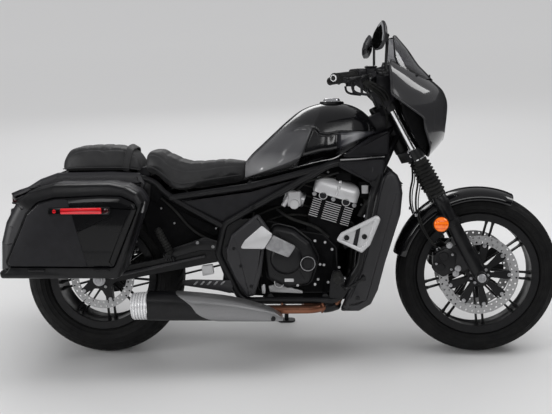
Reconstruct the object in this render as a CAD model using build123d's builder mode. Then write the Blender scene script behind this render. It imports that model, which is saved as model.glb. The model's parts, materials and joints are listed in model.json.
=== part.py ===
"""Touring cruiser motorcycle with hard side cases, parked on its side stand.

Every piece is drawn on the upright motorcycle: X runs forwards from the rear
axle, Y to the rider's left and Z up from the floor. At the end all pieces are
leaned to the left together and set down with the floor at Z = 0.
Millimetres and degrees throughout.
"""

import os
from math import cos, radians, sin, sqrt

from build123d import *

os.makedirs("parts", exist_ok=True)

# ---------------------------------------------------------------- driving sizes

# Chassis geometry
wheelbase = 1490
tyre_radius = 320
crown_radius = 100            # curve of both tread crowns, seen from ahead
rake = 27.5                   # steering axis from the vertical
fork_offset = 35              # fork legs ahead of the steering axis
park_lean = 9                 # lean to the left on the side stand
steering_range = 32           # each way
stand_range = 104             # from down to folded back
lid_range = 75                # from closed to hanging open

# Fits and gaps
running_fit = 0.05            # radial play of a shaft that turns
soft_gap = 0.3                # gap under seats and other seated shells

# Fork and steering
fork_half = 110               # fork legs from the middle plane
fork_tube_radius = 20.5
slider_radius = 27
gaiter_radius = 34
clamp_wall = 11
stem_radius = 14
head_tube_radius = 31
slider_foot = -26             # distances up the fork from the axle
slider_top = 361
gaiter_top = 518
lower_clamp = 524
lower_clamp_height = 40
upper_clamp = 733
upper_clamp_height = 30
fork_top = 772

# Handlebar
bar_radius = 12.7
bar_centre = (1074, 1050)
bar_rise = (1066, 205, 1108)
bar_end = (921, 420, 1089)
grip_radius = 16.5
grip_length = 125

# Wheels
axle_radius = 10
front_tyre_half = 65
rear_tyre_half = 90
front_seat_radius = 229       # where the tyre beads sit
rear_seat_radius = 203
front_rim_half = 49
rear_rim_half = 70
rim_depth = 18
flange_height = 12
spoke_width = 9
spoke_gap = 13
spoke_depth = 24
spoke_pairs = 9
disc_thickness = 4.5
front_disc_side = 73          # disc middle from the middle plane
front_disc_radius = 160
front_disc_inner = 118
rear_disc_side = 84
rear_disc_radius = 127
rear_disc_inner = 90
front_hub_radius = 36
rear_hub_radius = 42

# Frame
frame_half = 155              # cradle tubes from the middle plane
frame_tube = 14
rail_half = 126               # rear rails from the middle plane
rail_tube = 13
pivot = (575, 438)            # swingarm pivot
pivot_radius = 12
arm_inner = 116               # swingarm arms between these distances
arm_outer = 138

# Bodywork
shell = 4                     # thickness of mudguards and fairing
case_wall = 3.5
case_inner = frame_half + 37  # just outside the shock absorbers
case_outer = case_inner + 153
lid_outer = case_outer + 27
lid_seam = 3
case_floor = 362

axle_height = tyre_radius
rear_axle = Vector(0, 0, axle_height)
front_axle = Vector(wheelbase, 0, axle_height)
up_fork = Vector(-sin(radians(rake)), 0, cos(radians(rake)))
ahead = Vector(cos(radians(rake)), 0, sin(radians(rake)))


# ---------------------------------------------------------------- shared forms

def on_fork(distance, side=0):
    """Point on a fork leg's axis, by its distance up from the axle."""
    return front_axle + up_fork * distance + Vector(0, side * fork_half, 0)


def on_stem(distance):
    """Point on the steering axis, level with that distance up the fork."""
    return on_fork(distance) - ahead * fork_offset


def fork_plane(distance):
    """Plane square to the steering axis, its x to the left and y rearwards."""
    return Plane(origin=on_stem(distance), x_dir=(0, 1, 0), z_dir=up_fork)


def rod(start, end, radius, bore=0):
    """Round bar or tube from one point to another."""
    run = Vector(end) - Vector(start)
    with BuildPart() as bar:
        with BuildSketch(Plane(origin=start, z_dir=run)):
            Circle(radius)
            if bore:
                Circle(bore, mode=Mode.SUBTRACT)
        extrude(amount=run.length)
    return bar.part


def bent_rod(points, radius, bends):
    """Round bar along straight runs, with one bend radius for each corner."""
    with BuildPart() as bar:
        with BuildLine() as route:
            FilletPolyline(*points, radius=bends)
        with BuildSketch(Plane(origin=route.line @ 0, z_dir=route.line % 0)):
            Circle(radius)
        sweep()
    return bar.part


def slab(outline, inner, outer, corner=0):
    """Flat piece on the right-hand side, by its side outline and two distances out."""
    with BuildPart() as flat:
        with BuildSketch(Plane.XZ.offset(inner)):
            with BuildLine():
                if corner:
                    FilletPolyline(*outline, radius=corner, close=True)
                else:
                    Polyline(*outline, close=True)
            make_face()
        extrude(amount=outer - inner)
    return flat.part


def across(x, z, radius, half):
    """Round bar across the motorcycle, through both sides alike."""
    return rod((x, -half, z), (x, half, z), radius)


def dome_section(x, bottom, top, half_bottom, half_top):
    """Closed outline across the motorcycle: flat below, rounded sides and top."""
    rise = top - bottom
    with BuildSketch(Plane.YZ.offset(x)) as section:
        with BuildLine():
            Line((-half_bottom, bottom), (half_bottom, bottom))
            ThreePointArc((half_bottom, bottom),
                          ((half_bottom + half_top) / 2 + 0.08 * rise, bottom + 0.45 * rise),
                          (half_top, top - 0.16 * rise))
            ThreePointArc((half_top, top - 0.16 * rise), (0, top),
                          (-half_top, top - 0.16 * rise))
            ThreePointArc((-half_top, top - 0.16 * rise),
                          (-(half_bottom + half_top) / 2 - 0.08 * rise, bottom + 0.45 * rise),
                          (-half_bottom, bottom))
        make_face()
    return section.sketch


def wheel_plane(centre, side=0):
    """Plane of a wheel, its x forwards and y up, at a distance to the right."""
    return Plane(origin=centre - Vector(0, side, 0), x_dir=(1, 0, 0), z_dir=(0, -1, 0))


def tyre_ring(centre, half_width, seat_radius, seat_half):
    """Tyre by its section, turned round its axle."""
    shoulder = radians(30)
    shoulder_out = crown_radius * sin(shoulder) * half_width / 72
    shoulder_up = tyre_radius - crown_radius + sqrt(crown_radius**2 - shoulder_out**2)
    bead_top = seat_radius + flange_height
    belly_up = (shoulder_up + bead_top) / 2
    with BuildPart() as ring:
        with BuildSketch(Plane(origin=centre, x_dir=(0, 1, 0), z_dir=(1, 0, 0))):
            with BuildLine():
                ThreePointArc((-shoulder_out, shoulder_up), (0, tyre_radius),
                              (shoulder_out, shoulder_up))
                ThreePointArc((shoulder_out, shoulder_up), (half_width, belly_up),
                              (seat_half, bead_top))
                Polyline((seat_half, bead_top), (seat_half, seat_radius),
                         (-seat_half, seat_radius), (-seat_half, bead_top))
                ThreePointArc((-seat_half, bead_top), (-half_width, belly_up),
                              (-shoulder_out, shoulder_up))
            make_face()
        revolve(axis=Axis(centre, (0, 1, 0)))
    return ring.part


def cast_wheel(centre, seat_radius, rim_half, hub_radius, hub_half):
    """Rim with two low flanges, paired thin spokes and a bored hub."""
    well = seat_radius - rim_depth
    flange = seat_radius + flange_height
    lip = 6
    with BuildPart() as wheel:
        with BuildSketch(Plane(origin=centre, x_dir=(0, 1, 0), z_dir=(1, 0, 0))):
            with BuildLine():
                Polyline((-rim_half - lip, well), (rim_half + lip, well),
                         (rim_half + lip, flange), (rim_half, flange),
                         (rim_half, seat_radius), (-rim_half, seat_radius),
                         (-rim_half, flange), (-rim_half - lip, flange), close=True)
            make_face()
        revolve(axis=Axis(centre, (0, 1, 0)))
        with BuildSketch(wheel_plane(centre, -spoke_depth / 2)):
            spoke_start = hub_radius - 6
            spoke_length = well + 3 - spoke_start
            middle = spoke_start + spoke_length / 2
            with PolarLocations(0, spoke_pairs, start_angle=75):
                with Locations((middle, spoke_gap), (middle, -spoke_gap)):
                    Rectangle(spoke_length, spoke_width)
        extrude(amount=spoke_depth)
        with BuildSketch(wheel_plane(centre, -hub_half)):
            Circle(hub_radius)
        extrude(amount=2 * hub_half)
        with BuildSketch(wheel_plane(centre, -hub_half)):
            Circle(axle_radius + running_fit)
        extrude(amount=2 * hub_half, mode=Mode.SUBTRACT)
    return wheel.part


def brake_disc(centre, side, outer, inner, hub_radius, arms):
    """Ring of a brake disc on its carrier arms, bolted to the end of a hub."""
    boss = hub_radius - 4
    with BuildPart() as disc:
        with BuildSketch(wheel_plane(centre, side - disc_thickness / 2)):
            Circle(outer)
            Circle(inner, mode=Mode.SUBTRACT)
            with PolarLocations(0, arms):
                with Locations(((inner + boss) / 2, 0)):
                    Rectangle(inner - boss + 14, 13)
            Circle(boss)
            Circle(axle_radius + 6, mode=Mode.SUBTRACT)
        extrude(amount=disc_thickness)
    return disc.part


def curved_band(centre, outer, edge, half_width, first, last):
    """Mudguard: a domed band round an axle, between two angles from straight ahead."""
    with BuildPart() as band:
        start = Plane(origin=centre, x_dir=(0, 1, 0), z_dir=(1, 0, 0))
        with BuildSketch(start):
            with BuildLine():
                ThreePointArc((-half_width, edge), (0, outer), (half_width, edge))
                Line((half_width, edge), (half_width - shell, edge))
                ThreePointArc((half_width - shell, edge), (0, outer - shell),
                              (-half_width + shell, edge))
                Line((-half_width + shell, edge), (-half_width, edge))
            make_face()
        revolve(axis=Axis(centre, (0, 1, 0)), revolution_arc=last - first)
    turn = Location(centre) * Location((0, 0, 0), (0, 90 - last, 0)) * Location(-centre)
    return band.part.moved(turn)


# ---------------------------------------------------------------- wheels

front_tyre_ring = tyre_ring(front_axle, front_tyre_half, front_seat_radius, front_rim_half)
rear_tyre_ring = tyre_ring(rear_axle, rear_tyre_half, rear_seat_radius, rear_rim_half)
front_hub_half = front_disc_side - disc_thickness / 2
rear_hub_half = rear_disc_side - disc_thickness / 2
pulley_radius = 92
belt_side = 104
belt_width = 18

with BuildPart() as front_tyre:
    add(front_tyre_ring)

with BuildPart() as rear_tyre:
    add(rear_tyre_ring)

with BuildPart() as front_rim:
    add(cast_wheel(front_axle, front_seat_radius, front_rim_half, front_hub_radius,
                   front_hub_half))

with BuildPart() as rear_rim:
    add(cast_wheel(rear_axle, rear_seat_radius, rear_rim_half, rear_hub_radius,
                   rear_hub_half))

with BuildPart() as front_discs:
    add(brake_disc(front_axle, front_disc_side, front_disc_radius, front_disc_inner,
                   front_hub_radius, 8))
    mirror(about=Plane.XZ)

with BuildPart() as rear_disc:
    add(brake_disc(rear_axle, rear_disc_side, rear_disc_radius, rear_disc_inner,
                   rear_hub_radius, 5))

with BuildPart() as rear_pulley:
    with BuildSketch(wheel_plane(rear_axle, -belt_side - belt_width / 2)):
        Circle(pulley_radius)
    extrude(amount=belt_width)
    with BuildSketch(wheel_plane(rear_axle, -rear_hub_half - 14)):
        Circle(rear_hub_radius)
    extrude(amount=14)
    with BuildSketch(wheel_plane(rear_axle, -belt_side - belt_width)):
        Circle(axle_radius + running_fit)
    extrude(amount=3 * belt_width, mode=Mode.SUBTRACT)

# ---------------------------------------------------------------- front fork

with BuildPart() as fork_tubes:
    add(rod(on_fork(300, -1), on_fork(fork_top - 8, -1), fork_tube_radius))
    add(rod(on_fork(fork_top - 8, -1), on_fork(fork_top, -1), fork_tube_radius - 5))
    mirror(about=Plane.XZ)

with BuildPart() as fork_gaiters:
    add(rod(on_fork(slider_top, -1), on_fork(gaiter_top, -1), gaiter_radius, fork_tube_radius))
    mirror(about=Plane.XZ)

caliper_centre = (1350, 377)

with BuildPart() as fork_sliders:
    add(rod(on_fork(slider_foot, -1), on_fork(slider_top, -1), slider_radius))
    add(slab([(1470, 440), (1500, 372), (1392, 330), (1330, 418), (1345, 440)], 99, 109, 8))
    add(rod(on_fork(0, -1) + Vector(0, 20, 0), on_fork(0, -1) - Vector(0, 30, 0), 24))
    mirror(about=Plane.XZ)
    add(fork_tubes.part, mode=Mode.SUBTRACT)
    add(rod(on_fork(0, -1), on_fork(0, 1), axle_radius))

caliper_outline = [(1306, 345), (1322, 421), (1362, 436), (1398, 408), (1390, 345), (1345, 318)]

with BuildPart() as front_calipers:
    add(slab(caliper_outline, 54, 98.7, 10))
    with BuildSketch(wheel_plane(front_axle, front_disc_side - 8)):
        Circle(front_disc_radius + 7)
    extrude(amount=16, mode=Mode.SUBTRACT)
    mirror(about=Plane.XZ)

with BuildPart() as triple_clamps:
    for height, thickness in ((lower_clamp, lower_clamp_height),
                              (upper_clamp, upper_clamp_height)):
        with BuildSketch(fork_plane(height)):
            with Locations((fork_half, -fork_offset), (-fork_half, -fork_offset)):
                Circle(fork_tube_radius + clamp_wall)
            Circle(28)
            make_hull()
        extrude(amount=thickness)
    add(rod(on_stem(lower_clamp), on_stem(upper_clamp + upper_clamp_height), stem_radius))
    for side in (-1, 1):
        add(rod(on_fork(lower_clamp - 5, side), on_fork(fork_top + 5, side), fork_tube_radius),
            mode=Mode.SUBTRACT)

riser_side = 52
riser_base = on_stem(upper_clamp + upper_clamp_height)

with BuildPart() as handlebar:
    centre_x, centre_z = bar_centre
    rise_x, rise_y, rise_z = bar_rise
    end_x, end_y, end_z = bar_end
    add(bent_rod([(end_x, -end_y, end_z), (rise_x, -rise_y, rise_z), (centre_x, -112, centre_z),
                  (centre_x, 112, centre_z), (rise_x, rise_y, rise_z), (end_x, end_y, end_z)],
                 bar_radius, [70, 60, 60, 70]))
    for side in (-1, 1):
        foot = riser_base + Vector(0, side * riser_side, 0)
        add(rod(foot, (centre_x, side * riser_side, centre_z), 15))
        add(rod((centre_x, side * (riser_side - 18), centre_z),
                (centre_x, side * (riser_side + 18), centre_z), 21))
    add(triple_clamps.part, mode=Mode.SUBTRACT)

grip_end = Vector(end_x, -end_y, end_z)
bar_inward = (Vector(rise_x, -rise_y, rise_z) - grip_end).normalized()


def along_bar(distance):
    """Point on the right-hand bar, by its distance in from the end."""
    return grip_end + bar_inward * distance


with BuildPart() as grips:
    add(rod(along_bar(-12), along_bar(0), grip_radius + 2))
    add(rod(along_bar(0), along_bar(grip_length), grip_radius, bar_radius))
    mirror(about=Plane.XZ)

lever_drop = Vector(34, -34, -4)

with BuildPart() as hand_controls:
    add(rod(along_bar(grip_length + 1), along_bar(grip_length + 46), 22, bar_radius))
    add(rod(along_bar(grip_length + 56), along_bar(grip_length + 80), 19, bar_radius))
    add(rod(along_bar(grip_length + 40) + Vector(4, 0, -17),
            along_bar(grip_length + 66) + Vector(4, 0, -17), 9))
    perch = along_bar(grip_length + 68)
    add(rod(perch + Vector(14, -8, 0), perch + lever_drop, 9))
    add(bent_rod([perch + lever_drop, along_bar(grip_length + 20) + lever_drop * 1.15,
                  along_bar(-2) + lever_drop * 0.9], 6, [60]))
    with BuildSketch(Plane(origin=perch + Vector(22, -8, 14), z_dir=(0, 0, 1))):
        Circle(24)
    extrude(amount=32)
    mirror(about=Plane.XZ)

mirror_centre = Vector(1072, -388, 1241)
mirror_face = Vector(-0.96, 0.2, -0.2)

with BuildPart() as mirrors:
    add(bent_rod([perch + Vector(22, -8, 46), perch + Vector(26, -30, 80),
                  mirror_centre + Vector(26, 10, -8), mirror_centre + Vector(6, 0, -2)],
                 5, [25, 20]))
    with BuildSketch(Plane(origin=mirror_centre, x_dir=(0, 1, 0.12), z_dir=-mirror_face)):
        with BuildLine():
            FilletPolyline((-62, 22), (-30, 50), (40, 46), (62, 4), (30, -44), (-38, -40),
                           radius=20, close=True)
        make_face()
    extrude(amount=14, taper=20)
    with BuildSketch(Plane(origin=mirror_centre, x_dir=(0, 1, 0.12), z_dir=mirror_face)):
        with BuildLine():
            FilletPolyline((62, 22), (30, 50), (-40, 46), (-62, 4), (-30, -44), (38, -40),
                           radius=20, close=True)
        make_face()
    extrude(amount=6)
    mirror(about=Plane.XZ)
    add(hand_controls.part, mode=Mode.SUBTRACT)

# ---------------------------------------------------------------- fairing and lamp

fairing_back = 1118
fairing_levels = (                # height, nose, half width at the back plane
    {"height": 782, "nose": 1296, "half": 188},
    {"height": 850, "nose": 1351, "half": 232},
    {"height": 970, "nose": 1372, "half": 250},
    {"height": 1050, "nose": 1343, "half": 248},
    {"height": 1108, "nose": 1270, "half": 240},
    {"height": 1164, "nose": 1158, "half": 222},
)


def nose_arc(height, nose, half, back):
    """Level outline of the fairing: an arc round the nose, closed across the back."""
    with BuildSketch(Plane.XY.offset(height)) as level:
        with BuildLine():
            ThreePointArc((back, -half), (nose, 0), (back, half))
            Line((back, half), (back, -half))
        make_face()
    return level.sketch


fairing_side = [(1080, 1200), (1127, 1126), (1131, 1030), (1264, 941), (1264, 904), (1290, 828),
                (1296, 700), (1500, 700), (1500, 1200)]
lamp_radius = 84
lamp_centre = Vector(1318, 0, 930)
lamp_rim = 34

with BuildPart() as fairing_space:
    for level in fairing_levels:
        add(nose_arc(level["height"] - shell, level["nose"] - shell, level["half"] - shell,
                     fairing_back - 30))
    loft()

with BuildPart() as fairing:
    for level in fairing_levels:
        add(nose_arc(level["height"], level["nose"], level["half"], fairing_back))
    loft()
    add(fairing_space.part, mode=Mode.SUBTRACT)
    with BuildSketch(Plane.XZ.offset(-400)):
        Rectangle(4000, 4000)
        with BuildLine():
            Polyline(*fairing_side, close=True)
        make_face(mode=Mode.SUBTRACT)
    extrude(amount=800, mode=Mode.SUBTRACT)
    with BuildSketch(Plane(origin=lamp_centre, x_dir=(0, 1, 0), z_dir=(1, 0, 0))):
        Circle(lamp_radius + 1)
    extrude(amount=200, mode=Mode.SUBTRACT)

with BuildPart() as headlamp:
    with BuildSketch(Plane(origin=lamp_centre - Vector(60, 0, 0), x_dir=(0, 1, 0),
                           z_dir=(1, 0, 0))):
        Circle(lamp_radius - 4)
    extrude(amount=60)
    with BuildSketch(Plane(origin=lamp_centre, x_dir=(0, 1, 0), z_dir=(1, 0, 0))):
        Circle(lamp_radius)
    extrude(amount=lamp_rim)
    with BuildSketch(Plane(origin=lamp_centre + Vector(lamp_rim, 0, 0), x_dir=(0, 1, 0),
                           z_dir=(1, 0, 0))):
        Circle(lamp_radius)
    extrude(amount=12, taper=40)

screen_levels = (
    {"height": 1086, "nose": 1306, "half": 214},
    {"height": 1142, "nose": 1256, "half": 196},
    {"height": 1201, "nose": 1215, "half": 170},
    {"height": 1256, "nose": 1168, "half": 135},
)
screen_thickness = 4

with BuildPart() as screen_space:
    for level in screen_levels:
        add(nose_arc(level["height"] - 1, level["nose"] - screen_thickness,
                     level["half"] - screen_thickness, fairing_back - 60))
    loft()

with BuildPart() as fairing_solid:
    for level in fairing_levels:
        add(nose_arc(level["height"], level["nose"], level["half"], fairing_back))
    loft()

with BuildPart() as windscreen:
    for level in screen_levels:
        add(nose_arc(level["height"], level["nose"], level["half"], fairing_back))
    loft()
    add(screen_space.part, mode=Mode.SUBTRACT)
    add(fairing_solid.part, mode=Mode.SUBTRACT)
    with BuildSketch(Plane.XZ.offset(-400)):
        with BuildLine():
            Polyline((1000, 1000), (1230, 1000), (1148, 1170), (1150, 1248), (1166, 1300),
                     (1000, 1300), close=True)
        make_face()
    extrude(amount=800, mode=Mode.SUBTRACT)

with BuildPart() as fairing_stays:
    for side in (-1, 1):
        add(bent_rod([on_fork(upper_clamp + 15, side) + ahead * 20,
                      (1210, side * 120, 1000), (1262, side * 150, 1010),
                      (1290, side * 200, 1018)], 7, [22, 30]))
        add(bent_rod([on_fork(lower_clamp + 20, side) + ahead * 20, (1290, side * 60, 850),
                      lamp_centre + Vector(-30, side * 60, -40)], 7, [30]))
    add(fairing_space.part, mode=Mode.INTERSECT)

with BuildPart() as cockpit:
    gauge = Plane(origin=(1128, 0, 1092), x_dir=(0, 1, 0), z_dir=(-0.75, 0, 0.66))
    with BuildSketch(gauge):
        Circle(52)
    extrude(amount=-34)
    add(bent_rod([(1128, 0, 1080), (1160, 0, 1030), on_stem(upper_clamp + 15) + ahead * 20],
                 9, [30]))
    add(fairing_stays.part)
    add(triple_clamps.part, mode=Mode.SUBTRACT)
    add(fork_tubes.part, mode=Mode.SUBTRACT)
    add(headlamp.part, mode=Mode.SUBTRACT)

# ---------------------------------------------------------------- front mudguard and parts

with BuildPart() as front_fender:
    add(curved_band(front_axle, 342, 296, 80, 66, 166))
    for side in (-1, 1):
        for height in (308, 340):
            add(rod(on_fork(height, side) - Vector(0, side * 36, 0), on_fork(height, side), 7))
    add(fork_sliders.part, mode=Mode.SUBTRACT)
    add(fork_tubes.part, mode=Mode.SUBTRACT)

with BuildPart() as front_signals:
    lamp_at = on_fork(243, -1)
    add(rod(on_fork(231, -1), on_fork(255, -1), slider_radius + 6, slider_radius))
    add(rod(lamp_at + Vector(-18, -26, 0), (1330, -172, 536), 7))
    with BuildSketch(Plane(origin=(1327, -160, 536), z_dir=(0, -1, 0))):
        Circle(32)
    extrude(amount=26, taper=12)
    mirror(about=Plane.XZ)

with BuildPart() as brake_hoses:
    add(bent_rod([on_stem(lower_clamp) + Vector(-6, -70, 8), (1252, -92, 705), (1236, -108, 632),
                  (1240, -112, 564), (1272, -106, 492), (1312, -88, 440), (1330, -84, 425)],
                 4, [28, 60, 70, 60, 22]))
    add(front_calipers.part, mode=Mode.SUBTRACT)
    add(triple_clamps.part, mode=Mode.SUBTRACT)
    mirror(about=Plane.XZ)

# ---------------------------------------------------------------- frame

lean = radians(park_lean)
floor_drop = crown_radius * (1 - cos(lean))      # leaned tyres touch a little lower
stand_pivot = Vector(640, frame_half + 32, 228)
stand_reach = 80                                  # foot ahead of the pivot
stand_spread = 110                                # foot outside the pivot


def floor_height(side):
    """Height of the floor under the upright drawing, at a distance to the left."""
    return (side * sin(lean) - floor_drop) / cos(lean)


floor_normal = Vector(0, -sin(lean), cos(lean))
stand_foot = Vector(stand_pivot.X + stand_reach, stand_pivot.Y + stand_spread,
                    floor_height(stand_pivot.Y + stand_spread))

stand_leg = stand_foot - stand_pivot
stand_axis = Vector(0, -stand_leg.Z, stand_leg.Y).normalized()
stand_pin = 6
stand_hub_half = 9

lower_neck = on_stem(lower_clamp + lower_clamp_height + 66) - Vector(0, 20, 0)
upper_neck = on_stem(lower_clamp + lower_clamp_height + 106) - Vector(0, 20, 0)

with BuildPart() as frame:
    add(bent_rod([lower_neck, (1102, -118, 735), (1066, -frame_half, 640),
                  (1018, -frame_half, 375), (935, -frame_half, 238), (560, -frame_half, 238),
                  (470, -frame_half, 425), (497, -frame_half, 540), (906, -frame_half, 768),
                  (1040, -118, 783), upper_neck],
                 frame_tube, [60, 90, 90, 70, 60, 90, 50, 120, 50]))
    add(bent_rod([(880, -frame_half + 2, 755), (597, -frame_half + 2, 684),
                  (286, -142, 641)], rail_tube, [120]))
    add(slab([(470, 470), (520, 556), (622, 560), (650, 440), (612, 262), (545, 250),
              (496, 330), (470, 400)], frame_half - 6, frame_half + 4, 14))
    mirror(about=Plane.XZ)
    add(rod(on_stem(lower_clamp + lower_clamp_height + soft_gap), on_stem(upper_clamp - soft_gap),
            head_tube_radius))
    add(slab([(1176, 828), (1158, 866), (1060, 800), (1130, 776)], -10, 10, 8))
    for x, z in ((560, 238), (1072, 690), (597, 690)):
        add(across(x, z, frame_tube - 2, frame_half))
    add(rod(on_stem(lower_clamp), on_stem(upper_clamp + 10), stem_radius + running_fit),
        mode=Mode.SUBTRACT)
    add(across(*pivot, pivot_radius, 200), mode=Mode.SUBTRACT)
    add(rod(stand_pivot - stand_axis * 42, stand_pivot - stand_axis * (stand_hub_half + soft_gap),
            15))
    add(rod(stand_pivot - stand_axis * 34, stand_pivot + stand_axis * (stand_hub_half + 4),
            stand_pin))

with BuildPart() as rear_subframe:
    add(bent_rod([(497, -frame_half, 528), (268, -138, 655), (226, -rail_half, 704),
                  (160, -rail_half, 722), (-250, -rail_half, 724)], rail_tube, [60, 40, 60]))
    add(slab([(60, 716), (60, 655), (-50, 600), (-170, 640), (-185, 716)], rail_half + 8,
             rail_half + 14, 14))
    for x, z in ((25, 672), (-140, 655)):
        add(rod((x, -rail_half - 10, z), (x, -case_inner, z), 9))
    add(slab([(215, 712), (206, 640), (172, 632), (150, 716)], rail_half - 4, rail_half + 4, 8))
    add(rod((178, -rail_half, 652), (178, -rail_half - 54, 652), 8))
    add(rod((60, -rail_half, 720), (60, -rail_half + 20, 720), 7))
    add(rod((-150, -rail_half - 12, 697), (-150, -rail_half + 20, 697), 7))
    mirror(about=Plane.XZ)
    add(across(-238, 724, rail_tube - 2, rail_half))
    add(across(264, 660, rail_tube - 2, rail_half + 8))
    add(frame.part, mode=Mode.SUBTRACT)

# ---------------------------------------------------------------- engine

crank_half = 124
crank_outline = [(622, 275), (655, 262), (900, 262), (935, 330), (930, 440), (880, 492),
                 (800, 505), (668, 548), (622, 520)]
lean_of_cylinders = 17
cylinder_base = Vector(865, 0, 440)
cylinder_up = Vector(sin(radians(lean_of_cylinders)), 0, cos(radians(lean_of_cylinders)))


def cylinder_plane(distance):
    """Plane square to the cylinders, its x forwards and y to the left."""
    return Plane(origin=cylinder_base + cylinder_up * distance,
                 x_dir=(cylinder_up.Z, 0, -cylinder_up.X), z_dir=cylinder_up)


front_pulley = (668, 430)
front_pulley_radius = 42
belt_gap = 0.4
belt_thickness = 6



def belt_loop(grow):
    """Outline round both pulleys, that far outside them, in the rear wheel's plane."""
    with BuildSketch() as outline:
        Circle(pulley_radius + grow)
        with Locations((front_pulley[0], front_pulley[1] - axle_height)):
            Circle(front_pulley_radius + grow)
        make_hull()
    return outline.sketch


with BuildPart() as drive_belt:
    with BuildSketch(wheel_plane(rear_axle, -belt_side - belt_width / 2 + 1)):
        add(belt_loop(belt_thickness + belt_gap))
        add(belt_loop(belt_gap), mode=Mode.SUBTRACT)
        with Locations((front_pulley[0], front_pulley[1] - axle_height)):
            Circle(front_pulley_radius + belt_gap + 1)
    extrude(amount=belt_width - 2)

with BuildPart() as engine_case:
    add(slab(crank_outline, -crank_half, crank_half, 16))
    for x, z in ((672, 252), (886, 252)):
        add(across(x, z, 12, frame_half))
    add(across(*pivot, 40, 200), mode=Mode.SUBTRACT)
    with BuildSketch(wheel_plane(rear_axle, -crank_half)):
        add(belt_loop(belt_thickness + 6))
    extrude(amount=crank_half - belt_side + belt_width / 2 + 6, mode=Mode.SUBTRACT)
    add(frame.part, mode=Mode.SUBTRACT)

with BuildPart() as cylinder_block:
    with BuildSketch(cylinder_plane(20)):
        RectangleRounded(150, 236, 20)
    extrude(amount=186)
    for rib in range(8):
        with BuildSketch(cylinder_plane(118 + rib * 11)):
            RectangleRounded(172, 256, 22)
        extrude(amount=4)
    add(engine_case.part, mode=Mode.SUBTRACT)

with BuildPart() as head_cover:
    with BuildSketch(cylinder_plane(206)):
        RectangleRounded(178, 262, 24)
    extrude(amount=40)
    with BuildSketch(cylinder_plane(246)):
        RectangleRounded(168, 252, 24)
    extrude(amount=24, taper=35)

with BuildPart() as engine_covers:
    with BuildSketch(Plane.XZ.offset(crank_half)):
        with BuildLine():
            FilletPolyline((641, 470), (690, 538), (765, 520), (828, 470), (862, 400), (828, 300),
                           (740, 284), (660, 320), radius=34, close=True)
        make_face()
    extrude(amount=44, taper=8)
    with BuildSketch(Plane.XZ.offset(crank_half + 44)):
        with Locations((819, 386)):
            Circle(30)
        with Locations((735, 405)):
            Circle(62)
    extrude(amount=10)
    with BuildSketch(Plane.XZ.offset(-crank_half)):
        with Locations((800, 385)):
            Circle(92)
    extrude(amount=-46, taper=6)
    with BuildSketch(Plane.XZ.offset(-crank_half)):
        with BuildLine():
            FilletPolyline((628, 500), (735, 520), (735, 330), (628, 330), radius=30, close=True)
        make_face()
    extrude(amount=-36)
    add(frame.part, mode=Mode.SUBTRACT)

with BuildPart() as header_pipes:
    for side in (-1, 1):
        add(bent_rod([(945, side * 46, 545), (1004, side * 46, 520), (984, side * 46, 330),
                      (925, -100 + side * 22, 214), (800, -150 + side * 16, 212)],
                     18, [24, 60, 60]))
    add(bent_rod([(905, -122, 212), (840, -188, 211), (640, -194, 211)], 17, [70]))
    add(cylinder_block.part, mode=Mode.SUBTRACT)
    add(engine_case.part, mode=Mode.SUBTRACT)

muffler_side = 228
muffler_sections = (
    {"x": 209, "bottom": 181, "top": 292, "half": 50, "corner": 34},
    {"x": 314, "bottom": 179, "top": 289, "half": 53, "corner": 34},
    {"x": 521, "bottom": 179, "top": 269, "half": 53, "corner": 30},
    {"x": 673, "bottom": 179, "top": 225, "half": 40, "corner": 16},
    {"x": 722, "bottom": 180, "top": 194, "half": 26, "corner": 5},
)

with BuildPart() as muffler:
    for part_of in muffler_sections:
        middle = (part_of["bottom"] + part_of["top"]) / 2
        with BuildSketch(Plane.YZ.offset(part_of["x"])):
            with Locations((-muffler_side, middle)):
                RectangleRounded(2 * part_of["half"], part_of["top"] - part_of["bottom"],
                                 part_of["corner"])
    loft()
    add(rod((209, -muffler_side, 236), (146, -muffler_side, 233), 50, 40))
    add(header_pipes.part, mode=Mode.SUBTRACT)

# ---------------------------------------------------------------- radiator and guards

shroud_inner = 108
shroud_outer = 128

with BuildPart() as radiator:
    add(slab([(1158, 700), (1176, 660), (1098, 400), (1060, 405), (1136, 700)], -shroud_inner,
             shroud_inner, 6))

with BuildPart() as radiator_shrouds:
    add(slab([(1140, 745), (1172, 697), (1181, 656), (1172, 567), (1118, 383), (1091, 273),
              (1060, 213), (1013, 186), (945, 189), (962, 233), (1010, 332), (1066, 567),
              (1096, 703)], shroud_inner, shroud_outer, 8))
    mirror(about=Plane.XZ)
    add(slab([(1085, 262), (1060, 213), (1013, 186), (1004, 196), (1046, 222), (1070, 268)],
             -shroud_inner - 1, shroud_inner + 1, 3))
    add(frame.part, mode=Mode.SUBTRACT)

with BuildPart() as side_guards:
    add(slab([(927, 476), (944, 505), (1087, 573), (1098, 556), (1056, 456), (1024, 427)],
             frame_half + frame_tube, frame_half + frame_tube + 12, 10))
    with BuildSketch(Plane.XZ.offset(frame_half)):
        with Locations(Location((1010, 500), 24)):
            SlotOverall(96, 16)
    extrude(amount=60, mode=Mode.SUBTRACT)
    add(slab([(558, 448), (580, 482), (644, 537), (686, 502), (775, 455), (744, 412), (650, 444)],
             frame_half + frame_tube + 10, frame_half + frame_tube + 18, 8))
    mirror(about=Plane.XZ)

with BuildPart() as pivot_covers:
    add(slab([(505, 440), (525, 500), (629, 584), (676, 517), (652, 440), (640, 350), (613, 263),
              (582, 255), (536, 330), (508, 400)], frame_half + frame_tube,
             frame_half + frame_tube + 10, 12))
    for x, z in ((545, 480), (596, 330)):
        add(rod((x, -frame_half - 4, z), (x, -frame_half - frame_tube - 2, z), 9))
    mirror(about=Plane.XZ)

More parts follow.
